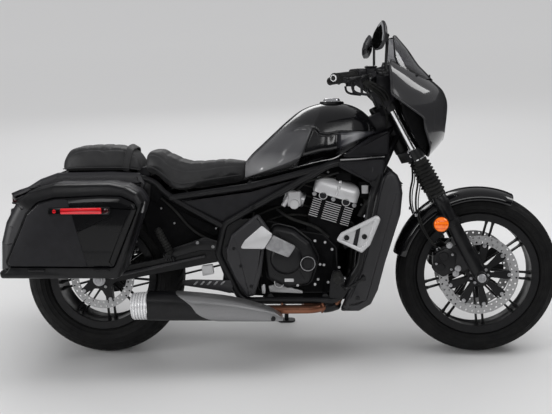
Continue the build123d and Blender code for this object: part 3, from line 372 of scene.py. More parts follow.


# Where a row gives edges, its colour is the lighter colour of a painted edge highlight.
FINISHES = {
    "gloss_black": gloss_black(),
    "satin_black": finished(
        "satin_black_metal", (0.0035, 0.0035, 0.0042), 0.36, (60, 5, (0.006, 0.006, 0.007)),
        (25, 5, 0.30, 0.50), (800, 3, 0.03), (1.5, (0.013, 0.013, 0.015)), Metallic=0.1,
        Specular_IOR_Level=0.3, Coat_Weight=0.12, Coat_Roughness=0.22),
    "satin_grey": finished(
        "satin_grey_paint", (0.0115, 0.0112, 0.0135), 0.42, (1400, 2, (0.016, 0.0157, 0.0185)),
        (9, 4, 0.36, 0.50), (1100, 3, 0.02), (2.0, (0.034, 0.034, 0.037)), Coat_Weight=0.15,
        Coat_Roughness=0.3),
    "black_plastic": black_plastic(),
    "leather": leather(),
    "tyre": finished(
        "tyre_rubber", (0.0038, 0.0038, 0.0042), 0.55, (18, 6, (0.0065, 0.0064, 0.0064)),
        (45, 5, 0.55, 0.8), (900, 4, 0.08), Specular_IOR_Level=0.17),
    "rubber": finished(
        "black_rubber", (0.005, 0.005, 0.0053), 0.62, (22, 6, (0.016, 0.016, 0.015)),
        (70, 4, 0.5, 0.75), (1200, 3, 0.06), Specular_IOR_Level=0.25),
    "steel": finished(
        "brushed_steel", (0.60, 0.60, 0.61), 0.34, (120, 5, (0.42, 0.42, 0.44), (1, 1, 0.05)),
        (300, 4, 0.26, 0.44), (1600, 2, 0.02), (0.6,), Metallic=1.0),
    "chrome": finished(
        "chrome", (0.78, 0.78, 0.80), 0.08, None, (14, 4, 0.05, 0.12), (500, 2, 0.006), (1.0,),
        Metallic=1.0),
    "cast_aluminium": finished(
        "cast_aluminium", (0.42, 0.42, 0.43), 0.45, (40, 6, (0.28, 0.28, 0.29)),
        (90, 5, 0.36, 0.58), (900, 4, 0.08), (1.0, (0.66, 0.66, 0.67)), Metallic=0.9),
    "silver_paint": finished(
        "silver_paint", (0.64, 0.64, 0.65), 0.34, (2200, 2, (0.50, 0.50, 0.51)),
        (20, 5, 0.30, 0.44), (1500, 2, 0.02), (2.0, (0.86, 0.86, 0.87)), Metallic=0.35,
        Coat_Weight=0.3, Coat_Roughness=0.2),
    "bronze": bronze(),
    "smoked_screen": finished(
        "smoked_screen", (0.30, 0.30, 0.315), 0.05, None, (12, 3, 0.03, 0.08), (60, 2, 0.01),
        Transmission_Weight=1.0, IOR=1.49),
    "lamp_glass": lamp_glass(),
    # Both lenses glow faintly as painted light; the red one is also used on the case reflectors and locks, which
    # are no lamps.
    "red_lens": lens("red_lens", (0.62, 0.012, 0.02), (0.25, 0.004, 0.006), 0.12),
    "orange_lens": lens("orange_lens", (0.90, 0.17, 0.008), (0.62, 0.075, 0.004), 0.22),
    "mirror_glass": finished(
        "mirror_glass", (0.80, 0.81, 0.83), 0.03, None, (10, 3, 0.02, 0.06), (40, 2, 0.004),
        Metallic=1.0),
    "deep_black": finished(
        "deep_black", (0.0030, 0.0030, 0.0034), 0.75, (40, 4, (0.0045, 0.0045, 0.005)),
        (50, 4, 0.65, 0.85), (500, 3, 0.05), (1.5, (0.016, 0.016, 0.017)),
        Specular_IOR_Level=0.08),
    "tank_paint": tank_paint(),
    "fairing_paint": fairing_paint(),
    "header_bronze": header_bronze(),
    "nose_silver": finished(
        "brushed_silver", (0.31, 0.31, 0.315), 0.36, (1800, 2, (0.22, 0.22, 0.225)),
        (16, 5, 0.32, 0.46), (1500, 2, 0.02), (2.0, (0.6, 0.6, 0.61)), Metallic=0.8,
        Coat_Weight=0.2, Coat_Roughness=0.25),
    "bright_chrome": finished(
        "bright_chrome", (0.86, 0.86, 0.87), 0.14, (300, 3, (0.79, 0.79, 0.80)),
        (300, 3, 0.12, 0.17), (400, 2, 0.01), Metallic=1.0),
    "bright_tip": bright_tip(),
    "disc_steel": finished(
        "disc_steel", (0.36, 0.36, 0.365), 0.40, (300, 4, (0.46, 0.46, 0.465)),
        (40, 4, 0.36, 0.50), (700, 2, 0.015), Metallic=0.7),
    "lid_black": finished(
        "lid_black", (0.0024, 0.0024, 0.0028), 0.26, (900, 2, (0.0040, 0.0040, 0.0048)),
        (7, 3, 0.20, 0.30), (260, 2, 0.01), (1.5,), Specular_IOR_Level=0.14, Coat_Weight=0.25,
        Coat_Roughness=0.05),
    "smoked_lens": smoked_lens(),
}

for subpart in frame["record"]["subparts"]:
    shown = nodes[subpart["node"]]
    shown.data.materials.clear()
    shown.data.materials.append(FINISHES[subpart["material_slot"]].material)
nodes["fork_tubes"].data.materials[0] = FINISHES["bright_chrome"].material
nodes["header_pipes"].data.materials[0] = FINISHES["header_bronze"].material

# ---------------------------------------------------------------- floor and light

FLOOR_PAINTED_LIGHT = (                  # metres from the middle, grey with painted light in it
    (0.0, 0.62), (0.9, 0.60), (1.8, 0.74), (3.4, 0.72), (5.0, 0.79), (12.0, 0.83),
)
FLOOR_REACH = 12.0
FLOOR_HALF = 60


def stage_finish():
    """Pale studio floor whose grey is painted light: darker near the motorcycle, lighter in a wide ring round it
    and lighter still far off.
    """
    finish = Finish("studio_floor", (0.70, 0.70, 0.70), 0.75, Specular_IOR_Level=0.15)
    away = finish.add("VectorMath", links={0: finish.place}, operation="LENGTH")
    painted_light_ramp = finish.add("ValToRGB")
    while len(painted_light_ramp.color_ramp.elements) < len(FLOOR_PAINTED_LIGHT):
        painted_light_ramp.color_ramp.elements.new(0.5)
    for stop, (distance, grey) in zip(painted_light_ramp.color_ramp.elements, FLOOR_PAINTED_LIGHT):
        stop.position = distance / FLOOR_REACH
        stop.color = (grey, grey, grey * 1.003, 1)
    finish.link(finish.ranged(away.outputs["Value"], 0, 1, 0, FLOOR_REACH),
                painted_light_ramp.inputs["Fac"])
    finish.link(painted_light_ramp.outputs["Color"], finish.surface.inputs["Base Color"])
    finish.rough(finish.noise(3, 3), 0.70, 0.82)
    return finish.bump(finish.noise(200, 2), 0.02)


def stage_piece(name, points, faces, finish):
    """Mesh of the set, which is no part of the motorcycle."""
    mesh = bpy.data.meshes.new(name)
    mesh.from_pydata(points, [], faces)
    mesh.materials.append(finish.material)
    piece = in_scene(name, mesh)
    piece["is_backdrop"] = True
    return piece


stage_piece("studio_floor", [(x * FLOOR_HALF, y * FLOOR_HALF, 0)
                             for x, y in ((-1, -1), (1, -1), (1, 1), (-1, 1))],
            [(0, 1, 2, 3)], stage_finish())

for name, at, aim, size, power in (
        ("top_box", (0.1, -0.3, 3.4), (0, 0, 0.5), (4.6, 1.0), 20),
        ("right_box", (1.4, -4.4, 2.6), (0, 0, 0.6), (2.6, 1.4), 30),
        ("streak_box", (-1.7, -4.2, 2.3), (0, 0, 0.7), (0.5, 1.5), 12),
        ("rear_box", (-4.2, -2.0, 1.7), (-0.7, -0.2, 0.6), (1.0, 1.8), 65),
        ("front_box", (3.6, 0.4, 3.3), (1.2, -0.1, 0.9), (1.6, 1.6), 45),
        ("low_strip", (-0.2, -3.0, 0.25), (0, 0, 0.7), (3.4, 0.30), 3),
        ("left_box", (-0.8, 4.4, 2.8), (0, 0, 0.6), (2.6, 1.4), 30)):
    light = in_scene(name, bpy.data.lights.new(name, "AREA"))
    light.data.shape = "RECTANGLE"
    light.data.size, light.data.size_y = size
    light.data.energy = power
    light.location = at
    light.rotation_euler = (Vector(aim) - Vector(at)).to_track_quat("-Z", "Y").to_euler()
    light.visible_glossy = name != "top_box"


def dark_card(radius, low, high, steps=48):
    """Black band round the set that only shows as a calm dark reflection in the sides."""
    finish = Finish("dark_card", (0.004, 0.004, 0.004), 0.9, Specular_IOR_Level=0.0)
    finish.rough(finish.noise(2), 0.85, 0.95)
    card = stage_piece("dark_card", [point for z in (low, high)
                                     for point in circle(radius, z, steps)],
                       [(i, (i + 1) % steps, steps + (i + 1) % steps, steps + i)
                        for i in range(steps)], finish)
    for ray in ("camera", "diffuse", "shadow", "transmission", "volume_scatter"):
        setattr(card, f"visible_{ray}", False)


def circle(radius, height, steps):
    """Points round the Z axis."""
    return [(radius * cos(2 * pi * i / steps), radius * sin(2 * pi * i / steps), height)
            for i in range(steps)]


dark_card(3.3, 0.06, 1.6)

sky = in_scene("sky_box", bpy.data.lights.new("sky_box", "SUN"))
sky.data.energy = 1.25
sky.data.angle = radians(70)
sky.visible_glossy = False
sky.rotation_euler = (radians(-6), radians(4), 0)

world = bpy.data.worlds.new("studio")
world.use_nodes = True
backdrop = world.node_tree.nodes["Background"].inputs
backdrop["Color"].default_value = (0.80, 0.80, 0.81, 1)
backdrop["Strength"].default_value = 0.36
bpy.context.scene.world = world

# ---------------------------------------------------------------- shaping tools


def dress(body, name, slot, *forms, replaces=None, at=None, sharp=38, bevel=0, levels=0,
          thick=0):
    """Joins forms as a piece on a body, in place of the CAD node that it stands for."""
    mesh = bpy.data.meshes.new(name)
    form = joined(*forms)
    bmesh.ops.recalc_face_normals(form, faces=form.faces)
    form.to_mesh(mesh)
    form.free()
    mesh.transform(Matrix.Scale(MM, 4))
    mesh.materials.append(FINISHES[slot].material)
    mesh.polygons.foreach_set("use_smooth", [True] * len(mesh.polygons))
    mesh.set_sharp_from_angle(angle=radians(sharp))
    piece = in_scene(name, mesh)
    piece.matrix_world = BIKE @ at if at else BIKE
    if thick:
        shell = piece.modifiers.new("shell", "SOLIDIFY")
        shell.thickness = thick * MM
        shell.offset = -1
    if levels:
        smooth = piece.modifiers.new("smooth", "SUBSURF")
        smooth.levels = smooth.render_levels = levels
    if bevel:
        edges = piece.modifiers.new("edges", "BEVEL")
        edges.width = bevel * MM
        edges.segments = 2
        edges.limit_method = "ANGLE"
        edges.angle_limit = radians(sharp)
        edges.harden_normals = True
    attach(piece, body)
    if replaces:
        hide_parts(replaces)
    return piece


def skin(rings, loop=True, closed=False, caps=True):
    """Skin through rings of equally many points; a loop joins each ring's two ends."""
    form = bmesh.new()
    rows = [[form.verts.new(point) for point in ring] for ring in rings]
    count = len(rows[0])
    pairs = list(zip(rows, rows[1:])) + ([(rows[-1], rows[0])] if closed else [])
    for low_row, high_row in pairs:
        for i in range(count if loop else count - 1):
            j = (i + 1) % count
            form.faces.new((low_row[i], low_row[j], high_row[j], high_row[i]))
    if caps and loop and not closed:
        form.faces.new(rows[0])
        form.faces.new(rows[-1])
    return form


def lathe(profile, steps=64, closed=False):
    """Turns (radius, height) points round the local Z axis."""
    form = skin([circle(radius, height, steps) for radius, height in profile], closed=closed)
    bmesh.ops.remove_doubles(form, verts=form.verts, dist=0.001)
    return form


def joined(*forms):
    """One form from several."""
    whole = bmesh.new()
    for form in forms:
        mesh = bpy.data.meshes.new("joined")
        form.to_mesh(mesh)
        form.free()
        whole.from_mesh(mesh)
        bpy.data.meshes.remove(mesh)
    return whole


def shifted(form, matrix):
    """The form moved by a matrix in millimetres."""
    bmesh.ops.transform(form, matrix=matrix, verts=form.verts)
    return form


def moved(form, at):
    """The form carried from its own frame to a place."""
    place = at.copy()
    place.translation = at.translation / MM
    return shifted(form, place)


def turned(profile, steps, origin, z_dir=UP, closed=False):
    """Lathed form standing on a point, along a direction."""
    return moved(lathe(profile, steps, closed), placed(origin, z_dir))


def rounded(outline, radius, steps=5):
    """Closed flat outline with its corners rounded by arcs."""
    corners = [Vector(point) for point in outline]
    points = []
    for i, corner in enumerate(corners):
        back = corners[i - 1] - corner
        on = corners[(i + 1) % len(corners)] - corner
        reach = min(radius / max(tan(back.angle(on) / 2), 0.05), back.length * 0.49,
                    on.length * 0.49)
        first = corner + back.normalized() * reach
        last = corner + on.normalized() * reach
        for step in range(steps + 1):
            t = step / steps
            points.append(first * (1 - t)**2 + corner * 2 * t * (1 - t) + last * t**2)
    return points


def inset(points, amount):
    """Closed flat outline moved inwards all round."""
    area = sum(a.x * b.y - b.x * a.y for a, b in zip(points, points[1:] + points[:1]))
    turn = 1 if area > 0 else -1
    result = []
    for i, point in enumerate(points):
        along = (points[(i + 1) % len(points)] - points[i - 1]).normalized()
        result.append(point + Vector((-along.y, along.x)) * amount * turn)
    return result


def side_rings(outline, levels, side=-1):
    """Rings from a side outline, at (distance out, inset) levels."""
    return [[Vector((point.x, side * out, point.y)) for point in inset(outline, amount)]
            for out, amount in levels]


def moulded(outline, corner, steps, levels, side=-1, caps=True):
    """Side piece whose rounded outline is inset from level to level."""
    return skin(side_rings(rounded(outline, corner, steps), levels, side), caps=caps)


def plate(outline, inner, outer, corner=6, side=-1, edge=1.5):
    """Flat side piece with rounded corners and softened edges."""
    return moulded(outline, corner, 5, [(inner, edge), (inner + edge, 0), (outer - edge, 0),
                                        (outer - edge * 0.3, edge * 0.3), (outer, edge)], side)


def slab(outline, levels):
    """Upright piece from a flat outline, at (height, inset) levels."""
    return skin([[Vector((point.x, point.y, height)) for point in inset(outline, amount)]
                 for height, amount in levels])


def filled(*loops):
    """Flat face between closed loops of points."""
    form = bmesh.new()
    rows = [[form.verts.new(point) for point in loop] for loop in loops]
    edges = [form.edges.new((row[i], row[(i + 1) % len(row)])) for row in rows
             for i in range(len(row))]
    bmesh.ops.triangle_fill(form, edges=edges, use_beauty=True)
    return form


def welded(*forms):
    """One form from several, whose shared points are merged."""
    whole = joined(*forms)
    bmesh.ops.remove_doubles(whole, verts=whole.verts, dist=0.01)
    return whole


def rod(start, end, radius, steps=24, edge=1.0):
    """Round bar from one point to another, its ends softened."""
    run = Vector(end) - Vector(start)
    return turned([(0, 0), (radius - edge, 0), (radius, edge), (radius, run.length - edge),
                   (radius - edge, run.length), (0, run.length)], steps, start, run)


def block(size, corner=3, edge=1.0, origin=(0, 0, 0), z_dir=UP, x_dir=FORWARD):
    """Box centred on a point, its four upright corners rounded."""
    x, y, z = (value / 2 for value in size)
    base = rounded([(-x, -y), (x, -y), (x, y), (-x, y)], corner, 4)
    form = slab(base, [(-z, edge), (-z + edge, 0), (z - edge, 0), (z, edge)])
    return moved(form, placed(origin, z_dir, x_dir))


def pipe(body, name, slot, radius, points):
    """Round hose or cable along given points."""
    curve = bpy.data.curves.new(name, "CURVE")
    curve.dimensions = "3D"
    curve.bevel_depth = radius * MM
    curve.bevel_resolution = 3
    curve.resolution_u = 10
    curve.use_fill_caps = True
    line = curve.splines.new("NURBS")
    line.points.add(len(points) - 1)
    for knot, point in zip(line.points, points):
        knot.co = (*(Vector(point) * MM), 1)
    line.order_u = 3
    line.use_endpoint_u = True
    curve.materials.append(FINISHES[slot].material)
    piece = in_scene(name, curve)
    piece.matrix_world = BIKE
    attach(piece, body)
    return piece


def cap_screw(radius, height):
    """Socket head screw standing on the local XY plane."""
    return lathe([(0, height * 0.5), (radius * 0.5, height * 0.5), (radius * 0.55, height),
                  (radius * 0.88, height), (radius, height * 0.85), (radius, 0)], 14)


def hex_bolt(radius, height):
    """Hexagon head on its washer, standing on the local XY plane."""
    return joined(lathe([(0, height), (radius * 0.8, height), (radius, height * 0.8),
                         (radius, height * 0.25), (0, height * 0.25)], 6),
                  lathe([(0, height * 0.3), (radius * 1.25, height * 0.3),
                         (radius * 1.3, 0), (0, 0)], 18))


def screws(body, name, slot, radius, spots, head=cap_screw, height=None):
    """Screws at (point, direction) spots, joined as one piece."""
    return dress(body, name, slot, *(moved(head(radius, height or radius), placed(*spot))
                                     for spot in spots))


def outwards(y, spots):
    """Places and outward directions on both sides, at a distance from the middle plane."""
    return [((x, side * y, z), (0, side, 0)) for side in SIDES for x, z in spots]


on_chassis, on_steering = partial(dress, "chassis"), partial(dress, "steering")
chassis_pipe, steering_pipe = partial(pipe, "chassis"), partial(pipe, "steering")
chassis_screws, steering_screws = partial(screws, "chassis"), partial(screws, "steering")


def between(rows, at):
    """Values of a table at a place, by smooth curves; a row's first value is its place."""
    spots = [row[0] for row in rows]
    at = min(max(at, spots[0]), spots[-1])
    i = max(j for j in range(len(spots) - 1) if spots[j] <= at or j == 0)
    span = spots[i + 1] - spots[i]
    t = (at - spots[i]) / span

    def slope(values, j):
        low_j, high_j = max(j - 1, 0), min(j + 1, len(spots) - 1)
        return (values[high_j] - values[low_j]) / (spots[high_j] - spots[low_j])

    return [values[i] * (2 * t**3 - 3 * t**2 + 1)
            + slope(values, i) * span * (t**3 - 2 * t**2 + t)
            + values[i + 1] * (3 * t**2 - 2 * t**3)
            + slope(values, i + 1) * span * (t**3 - t**2)
            for values in list(zip(*rows))[1:]]


def ease(value, start, stop):
    """Smooth step from 0 to 1 between two places."""
    t = min(max((value - start) / (stop - start), 0), 1)
    return t * t * (3 - 2 * t)


def on_line(value, points):
    """Height of a polyline, given by rising places, at one place."""
    for (x0, z0), (x1, z1) in zip(points, points[1:]):
        if value <= x1:
            return z0 + (z1 - z0) * max(value - x0, 0) / (x1 - x0)
    return points[-1][1]


# ---------------------------------------------------------------- wheels

CROWN_RADIUS = 100
TREAD_PITCHES = 28
TREAD_DEPTH = 4.0
RING_STEPS = 560
RIB_HEIGHT = 1.5
RIB_PLACES = (10, 17, 18, 24, 29)
AXLE_BORE = 11
SPOKE_PAIRS = 9
SPOKE_GAP = 13
SPOKE_START = 75
DISC_THICKNESS = 4.5
DISC_HOLE = 3.9


def tread(turn, share):
    """Depth of the tread at a turn and a share of the crown's half width."""
    side = 0.5 if share > 0 else 0
    reach = abs(share)
    sweep = 0.85 * reach**1.5 - 0.25 * reach
    phase = (turn / (2 * pi) * TREAD_PITCHES + sweep + side) % 1
    long_groove = 0.16 < reach < 0.95 and abs(phase - 0.5) < 0.055
    short_groove = 0.52 < reach < 1.0 and abs(phase - 0.02) < 0.045
    centre_groove = abs(reach - 0.09) < 0.035
    return TREAD_DEPTH if long_groove or short_groove or centre_groove else 0


def tyre(node, centre, body, half_width, seat_radius, rim_half):
    """Tyre with its crown, grooves, ribbed sidewalls and beads."""
    shoulder_out = CROWN_RADIUS * 0.5 * half_width / 72
    shoulder_up = AXLE_HEIGHT - CROWN_RADIUS + sqrt(CROWN_RADIUS**2 - shoulder_out**2)
    bead = seat_radius + 12
    belly = half_width - (shoulder_out + rim_half) / 2
    crown = []
    for i in range(-15, 16):
        out = shoulder_out * i / 15
        crown.append((out, AXLE_HEIGHT - CROWN_RADIUS + sqrt(CROWN_RADIUS**2 - out**2), i / 15))
    wall = []
    for i in range(1, 33):
        t = i / 32
        wall.append((shoulder_out + (rim_half - shoulder_out) * t + belly * 4 * t * (1 - t)
                     - 1.6 + RIB_HEIGHT * (i in RIB_PLACES),
                     shoulder_up + (bead - shoulder_up) * t, None))
    wall.append((rim_half, seat_radius + 1, None))
    section = [(-out, up, share) for out, up, share in reversed(wall)] + crown + wall
    rings = []
    for step in range(RING_STEPS):
        turn = 2 * pi * step / RING_STEPS
        ring = []
        for out, up, share in section:
            radius = up - (tread(turn, share) if share is not None else 0)
            ring.append((radius * cos(turn), radius * sin(turn), -out))
        rings.append(ring)
    dress(body, node + "_dressed", "tyre", skin(rings, closed=True), replaces=node,
          at=placed(centre, RIGHT), sharp=32)


def cast_rim(node, centre, body, seat_radius, rim_half, hub_radius, hub_half):
    """Rim barrel with rolled lips, nine pairs of slim spokes and a stepped hub."""
    lip = rim_half + 6
    barrel = [(seat_radius + up, out) for up, out in (
        (-18, -lip + 2), (10, -lip), (12, -lip + 2), (11, -rim_half), (0, -rim_half + 2), (-8, 0),
        (0, rim_half - 2), (11, rim_half), (12, lip - 2), (10, lip), (-18, lip - 2),
        (-19, rim_half - 8), (-15, rim_half - 20), (-15, -rim_half + 20), (-19, -rim_half + 8))]
    half_hub = [(AXLE_BORE, hub_half), (hub_radius - 8, hub_half),
                (hub_radius - 6, hub_half - 6), (hub_radius, hub_half - 8), (hub_radius, 22),
                (hub_radius + 6, 16)]
    hub = half_hub + [(radius, -out) for radius, out in reversed(half_hub)]
    forms = [lathe(barrel, 144, closed=True), lathe(hub, 64, closed=True)]
    start, stop = hub_radius - 2, seat_radius - 14
    for pair in range(SPOKE_PAIRS):
        spin = Matrix.Rotation(radians(SPOKE_START + 360 / SPOKE_PAIRS * pair), 4, "Z")
        for offset in (-SPOKE_GAP, SPOKE_GAP):
            forms.append(shifted(skin([
                [(start + (stop - start) * share, offset + half * cos(a), deep * 1.1 * sin(a))
                 for a in (radians(22.5 + 45 * k) for k in range(8))]
                for share, half, deep in ((0, 7.5, 15), (0.12, 5.0, 12), (0.5, 4.2, 10),
                                          (0.88, 4.8, 12), (1.0, 8.5, 16))]), spin))
    dress(body, node + "_dressed", "satin_black", *forms, replaces=node,
          at=placed(centre, RIGHT), sharp=44)


def perforated_ring(outer, inner, thickness, rows, columns, hole, corners=16, rim_steps=160):
    """Ring with rows of drilled holes, each row half a step on from the last."""
    form = bmesh.new()
    depth = (outer - inner) / rows
    half_turn = pi / columns
    faces = (-thickness / 2, thickness / 2)

    def band(loops):
        """Quads between two loops of points."""
        low_loop, high_loop = [[form.verts.new(point) for point in loop] for loop in loops]
        for k, point in enumerate(low_loop):
            j = (k + 1) % len(low_loop)
            form.faces.new((point, low_loop[j], high_loop[j], high_loop[k]))

    for row in range(rows):
        for column in range(columns):
            radius, turn = (inner + depth * (row + 0.5),
                            2 * pi * (column + 0.5 * (row % 2)) / columns)
            edge, bore = [], []
            for a in (2 * pi * k / corners for k in range(corners)):
                reach = 1 / max(abs(cos(a)), abs(sin(a)))
                edge.append((radius + depth / 2 * cos(a) * reach,
                             turn + half_turn * sin(a) * reach))
                bore.append((radius + hole * cos(a), turn + hole * sin(a) / radius))
            for side in faces:
                band([[(r * cos(t), r * sin(t), side) for r, t in loop]
                      for loop in (edge, bore)])
            band([[(r * cos(t), r * sin(t), side) for r, t in bore] for side in faces])
    for radius in (inner, outer):
        band([circle(radius, side, rim_steps) for side in faces])
    return form


def brake_disc(name, centre, side, body, node, outer, inner, hub_radius, arms, columns):
    """Drilled disc on a black carrier, with its bobbins and bolts, on one side."""
    spot = placed(Vector(centre) + RIGHT * side, RIGHT)
    out = 1 if side > 0 else -1
    dress(body, name, "disc_steel",
          perforated_ring(outer, inner, DISC_THICKNESS, 2, columns, DISC_HOLE), replaces=node,
          at=spot, sharp=30)
    star, bobbins, bolts = [], [], []
    for arm in range(arms):
        middle, half = 2 * pi * arm / arms, pi / arms
        for radius, turn in ((hub_radius + 8, -half), (hub_radius + 14, -half * 0.55),
                             (inner - 12, -0.16), (inner + 5, -0.12), (inner + 5, 0.12),
                             (inner - 12, 0.16), (hub_radius + 14, half * 0.55)):
            star.append((radius * cos(middle + turn), radius * sin(middle + turn)))
        for radius, forms, head in ((inner - 2, bobbins, lathe(
                [(0, 2.2), (4, 2.2), (4.5, 1.2), (7.5, 1.2), (8, 0.4), (8, -4), (0, -4)], 18)),
                (hub_radius - 2, bolts, cap_screw(6, 6))):
            place = Matrix.Translation((radius * cos(middle), radius * sin(middle), 5 * out))
            if out < 0:
                place = place @ Matrix.Rotation(pi, 4, "X")
            forms.append(shifted(head, place))
    dress(body, name + "_carrier", "satin_black",
          slab(rounded(star, 5, 3), [(-4.5, 0.8), (-3.8, 0), (3.8, 0), (4.5, 0.8)]), at=spot,
          sharp=40)
    dress(body, name + "_bobbins", "steel", *bobbins, at=spot)
    dress(body, name + "_bolts", "steel", *bolts, at=spot)


tyre("front_tyre", FRONT_AXLE, "front_wheel", 65, 229, 49)
tyre("rear_tyre", REAR_AXLE, "rear_wheel", 90, 203, 70)
cast_rim("front_rim", FRONT_AXLE, "front_wheel", 229, 49, 36, 70)
cast_rim("rear_rim", REAR_AXLE, "rear_wheel", 203, 70, 42, 81)
for side in SIDES:
    brake_disc(f"{WORD[side]}_front_disc", FRONT_AXLE, -side * 73, "front_wheel",
               "front_discs", 156, 120, 36, 9, 38)
brake_disc("rear_disc_dressed", REAR_AXLE, 84, "rear_wheel", "rear_disc", 127, 96, 42, 5, 32)

# ---------------------------------------------------------------- tank

TANK_ROWS = (                    # place, bottom, top, widest half, top half
    (573, 694, 770, 56, 36), (600, 700, 801, 84, 50), (640, 709, 838, 110, 68),
    (690, 721, 884, 127, 86), (740, 733, 929, 138, 97), (800, 750, 973, 144, 106),
    (870, 768, 996, 147, 110), (930, 780, 999, 143, 110), (990, 812, 989, 132, 106),
    (1036, 840, 966, 113, 96), (1070, 862, 934, 88, 78), (1091, 876, 904, 52, 46),
)
TANK_STEPS = 172
TANK_RIM = 160
WIDEST_SHARE = 0.28              # of the tank's height
CROWN_START, CROWN_FALL = 0.55, 0.2035
BROW_LINE = [(690, 866), (742, 889), (788, 908), (828, 911), (856, 899), (868, 884), (900, 880),
             (934, 889), (1026, 887), (1067, 866), (1091, 850)]
FLANK_DEPTH, KNEE_DEPTH, NOSE_DEPTH, TAIL_FLARE = 9, 11, 11, 9


def tank_relief(x, z, bottom):
    """How far the tank's side sinks: rear flank, knee recess and front panel."""
    under = 1 - ease(z, on_line(x, BROW_LINE) - 7, on_line(x, BROW_LINE) + 4)
    knee_line = 776 + (z - 752) * 0.43
    ridge_line = 872 + (z - 792) * 0.2
    flank = FLANK_DEPTH * ease(x, 690, 800)
    knee = KNEE_DEPTH * ease(x, knee_line - 3, knee_line + 4) * (1 - ease(x, ridge_line, 938))
    nose = NOSE_DEPTH * ease(x, 930, 952) * (1 - ease(x, 985, 1085))
    flare = TAIL_FLARE * (1 - ease(z, bottom + 6, bottom + 80))
    flare *= (1 - ease(x, knee_line - 25, knee_line)) * ease(x, 585, 650)
    return (flank * (1 - ease(x, 900, 1040)) + knee + nose) * under - flare


def tank_ring(x):
    """Section of the tank across the motorcycle, from the keel up round both sides."""
    bottom, top, half, crown = between(TANK_ROWS, x)
    ring = []
    for i in range(TANK_RIM):
        turn = 2 * pi * i / TANK_RIM
        height = (1 - cos(turn)) / 2
        if height < WIDEST_SHARE:
            out = half * (0.80 + 0.20 * sin(height / WIDEST_SHARE * pi / 2))
            out *= min(sin(turn / 2) * 2.2, 1)
        else:
            t = (height - WIDEST_SHARE) / (1 - WIDEST_SHARE)
            out = half + (crown - half) * t**1.6
            out *= sqrt(max(1 - max(t - CROWN_START, 0)**2 / CROWN_FALL, 0))
        if abs(sin(turn)) < 1e-6:
            out = 0
        z = bottom + (top - bottom) * height
        sink = tank_relief(x, z, bottom) * ease(out, 50, 90)
        ring.append(Vector((x, (1 if turn < pi else -1) * (out - sink), z)))
    return ring


def spread(first, last, steps):
    """Evenly spaced values, with both ends."""
    return [first + (last - first) * i / steps for i in range(steps + 1)]


on_chassis("tank_shell", "tank_paint",
           skin([tank_ring(x) for x in spread(TANK_ROWS[0][0], TANK_ROWS[-1][0], TANK_STEPS)]),
           replaces="fuel_tank", sharp=75)

CAP_AT = Vector((917, 0, 1000))
on_chassis("filler_cap", "chrome",
           lathe([(0, 16), (12, 17), (27, 16), (31, 13), (33, 6), (37, 4), (38, 0), (38, -14),
                  (0, -14)], 72), replaces="tank_cap", at=placed(CAP_AT))
on_chassis("filler_ring", "satin_black",
           lathe([(39, -6), (39, 2), (42, 4), (46, 3), (48, -3), (47, -8)], 72, closed=True),
           at=placed(CAP_AT))
chassis_screws("filler_screws", "steel", 3,
               [(CAP_AT + Vector((34.5 * cos(a), 34.5 * sin(a), 4)), UP)
                for a in map(radians, range(30, 390, 60))])

# ---------------------------------------------------------------- seats

RIDER_ROWS = (                   # place, bottom, top, half widths low and high
    (184, 748, 806, 112, 92), (200, 743, 823, 124, 102), (236, 727, 817, 136, 116),
    (263, 700, 801, 140, 122), (300, 668, 783, 140, 124), (340, 664, 768, 137, 120),
    (400, 678, 765, 128, 108), (480, 690, 771, 106, 86), (579, 702, 777, 68, 50),
)
PASSENGER_ROWS = (
    (-148, 748, 784, 80, 66), (-138, 744, 806, 92, 74), (-118, 743, 830, 104, 84),
    (-60, 743, 841, 116, 96), (40, 743, 842, 120, 100), (110, 743, 835, 117, 98),
    (150, 743, 806, 112, 94), (174, 743, 764, 104, 90),
)
PAD_STEPS = 40
SEAT_SHRINK = 0.97
SEAT_VOXEL, SEAT_HELD = 6, 12    # the held band stands on the pad's base
SEAT_PRESSURE, SEAT_SWELL = 4.0, 9
CLOTH_FRAMES = 20


def signed(value, power):
    """Power of a value's size, with the value's sign."""
    return abs(value)**power * (1 if value > 0 else -1)


def pad_ring(rows, x):
    """Section of a seat pad: flat below, upright sides and a crowned top."""
    bottom, top, low, high = between(rows, x)
    ring = []
    for i in range(PAD_STEPS):
        turn = 2 * pi * i / PAD_STEPS
        up = -cos(turn)
        share = (signed(up, 0.75 if up > 0 else 0.3) + 1) / 2
        ring.append(Vector((x, signed(sin(turn), 0.42) * (low + (high - low) * share),
                            bottom + (top - bottom) * share)))
    return ring


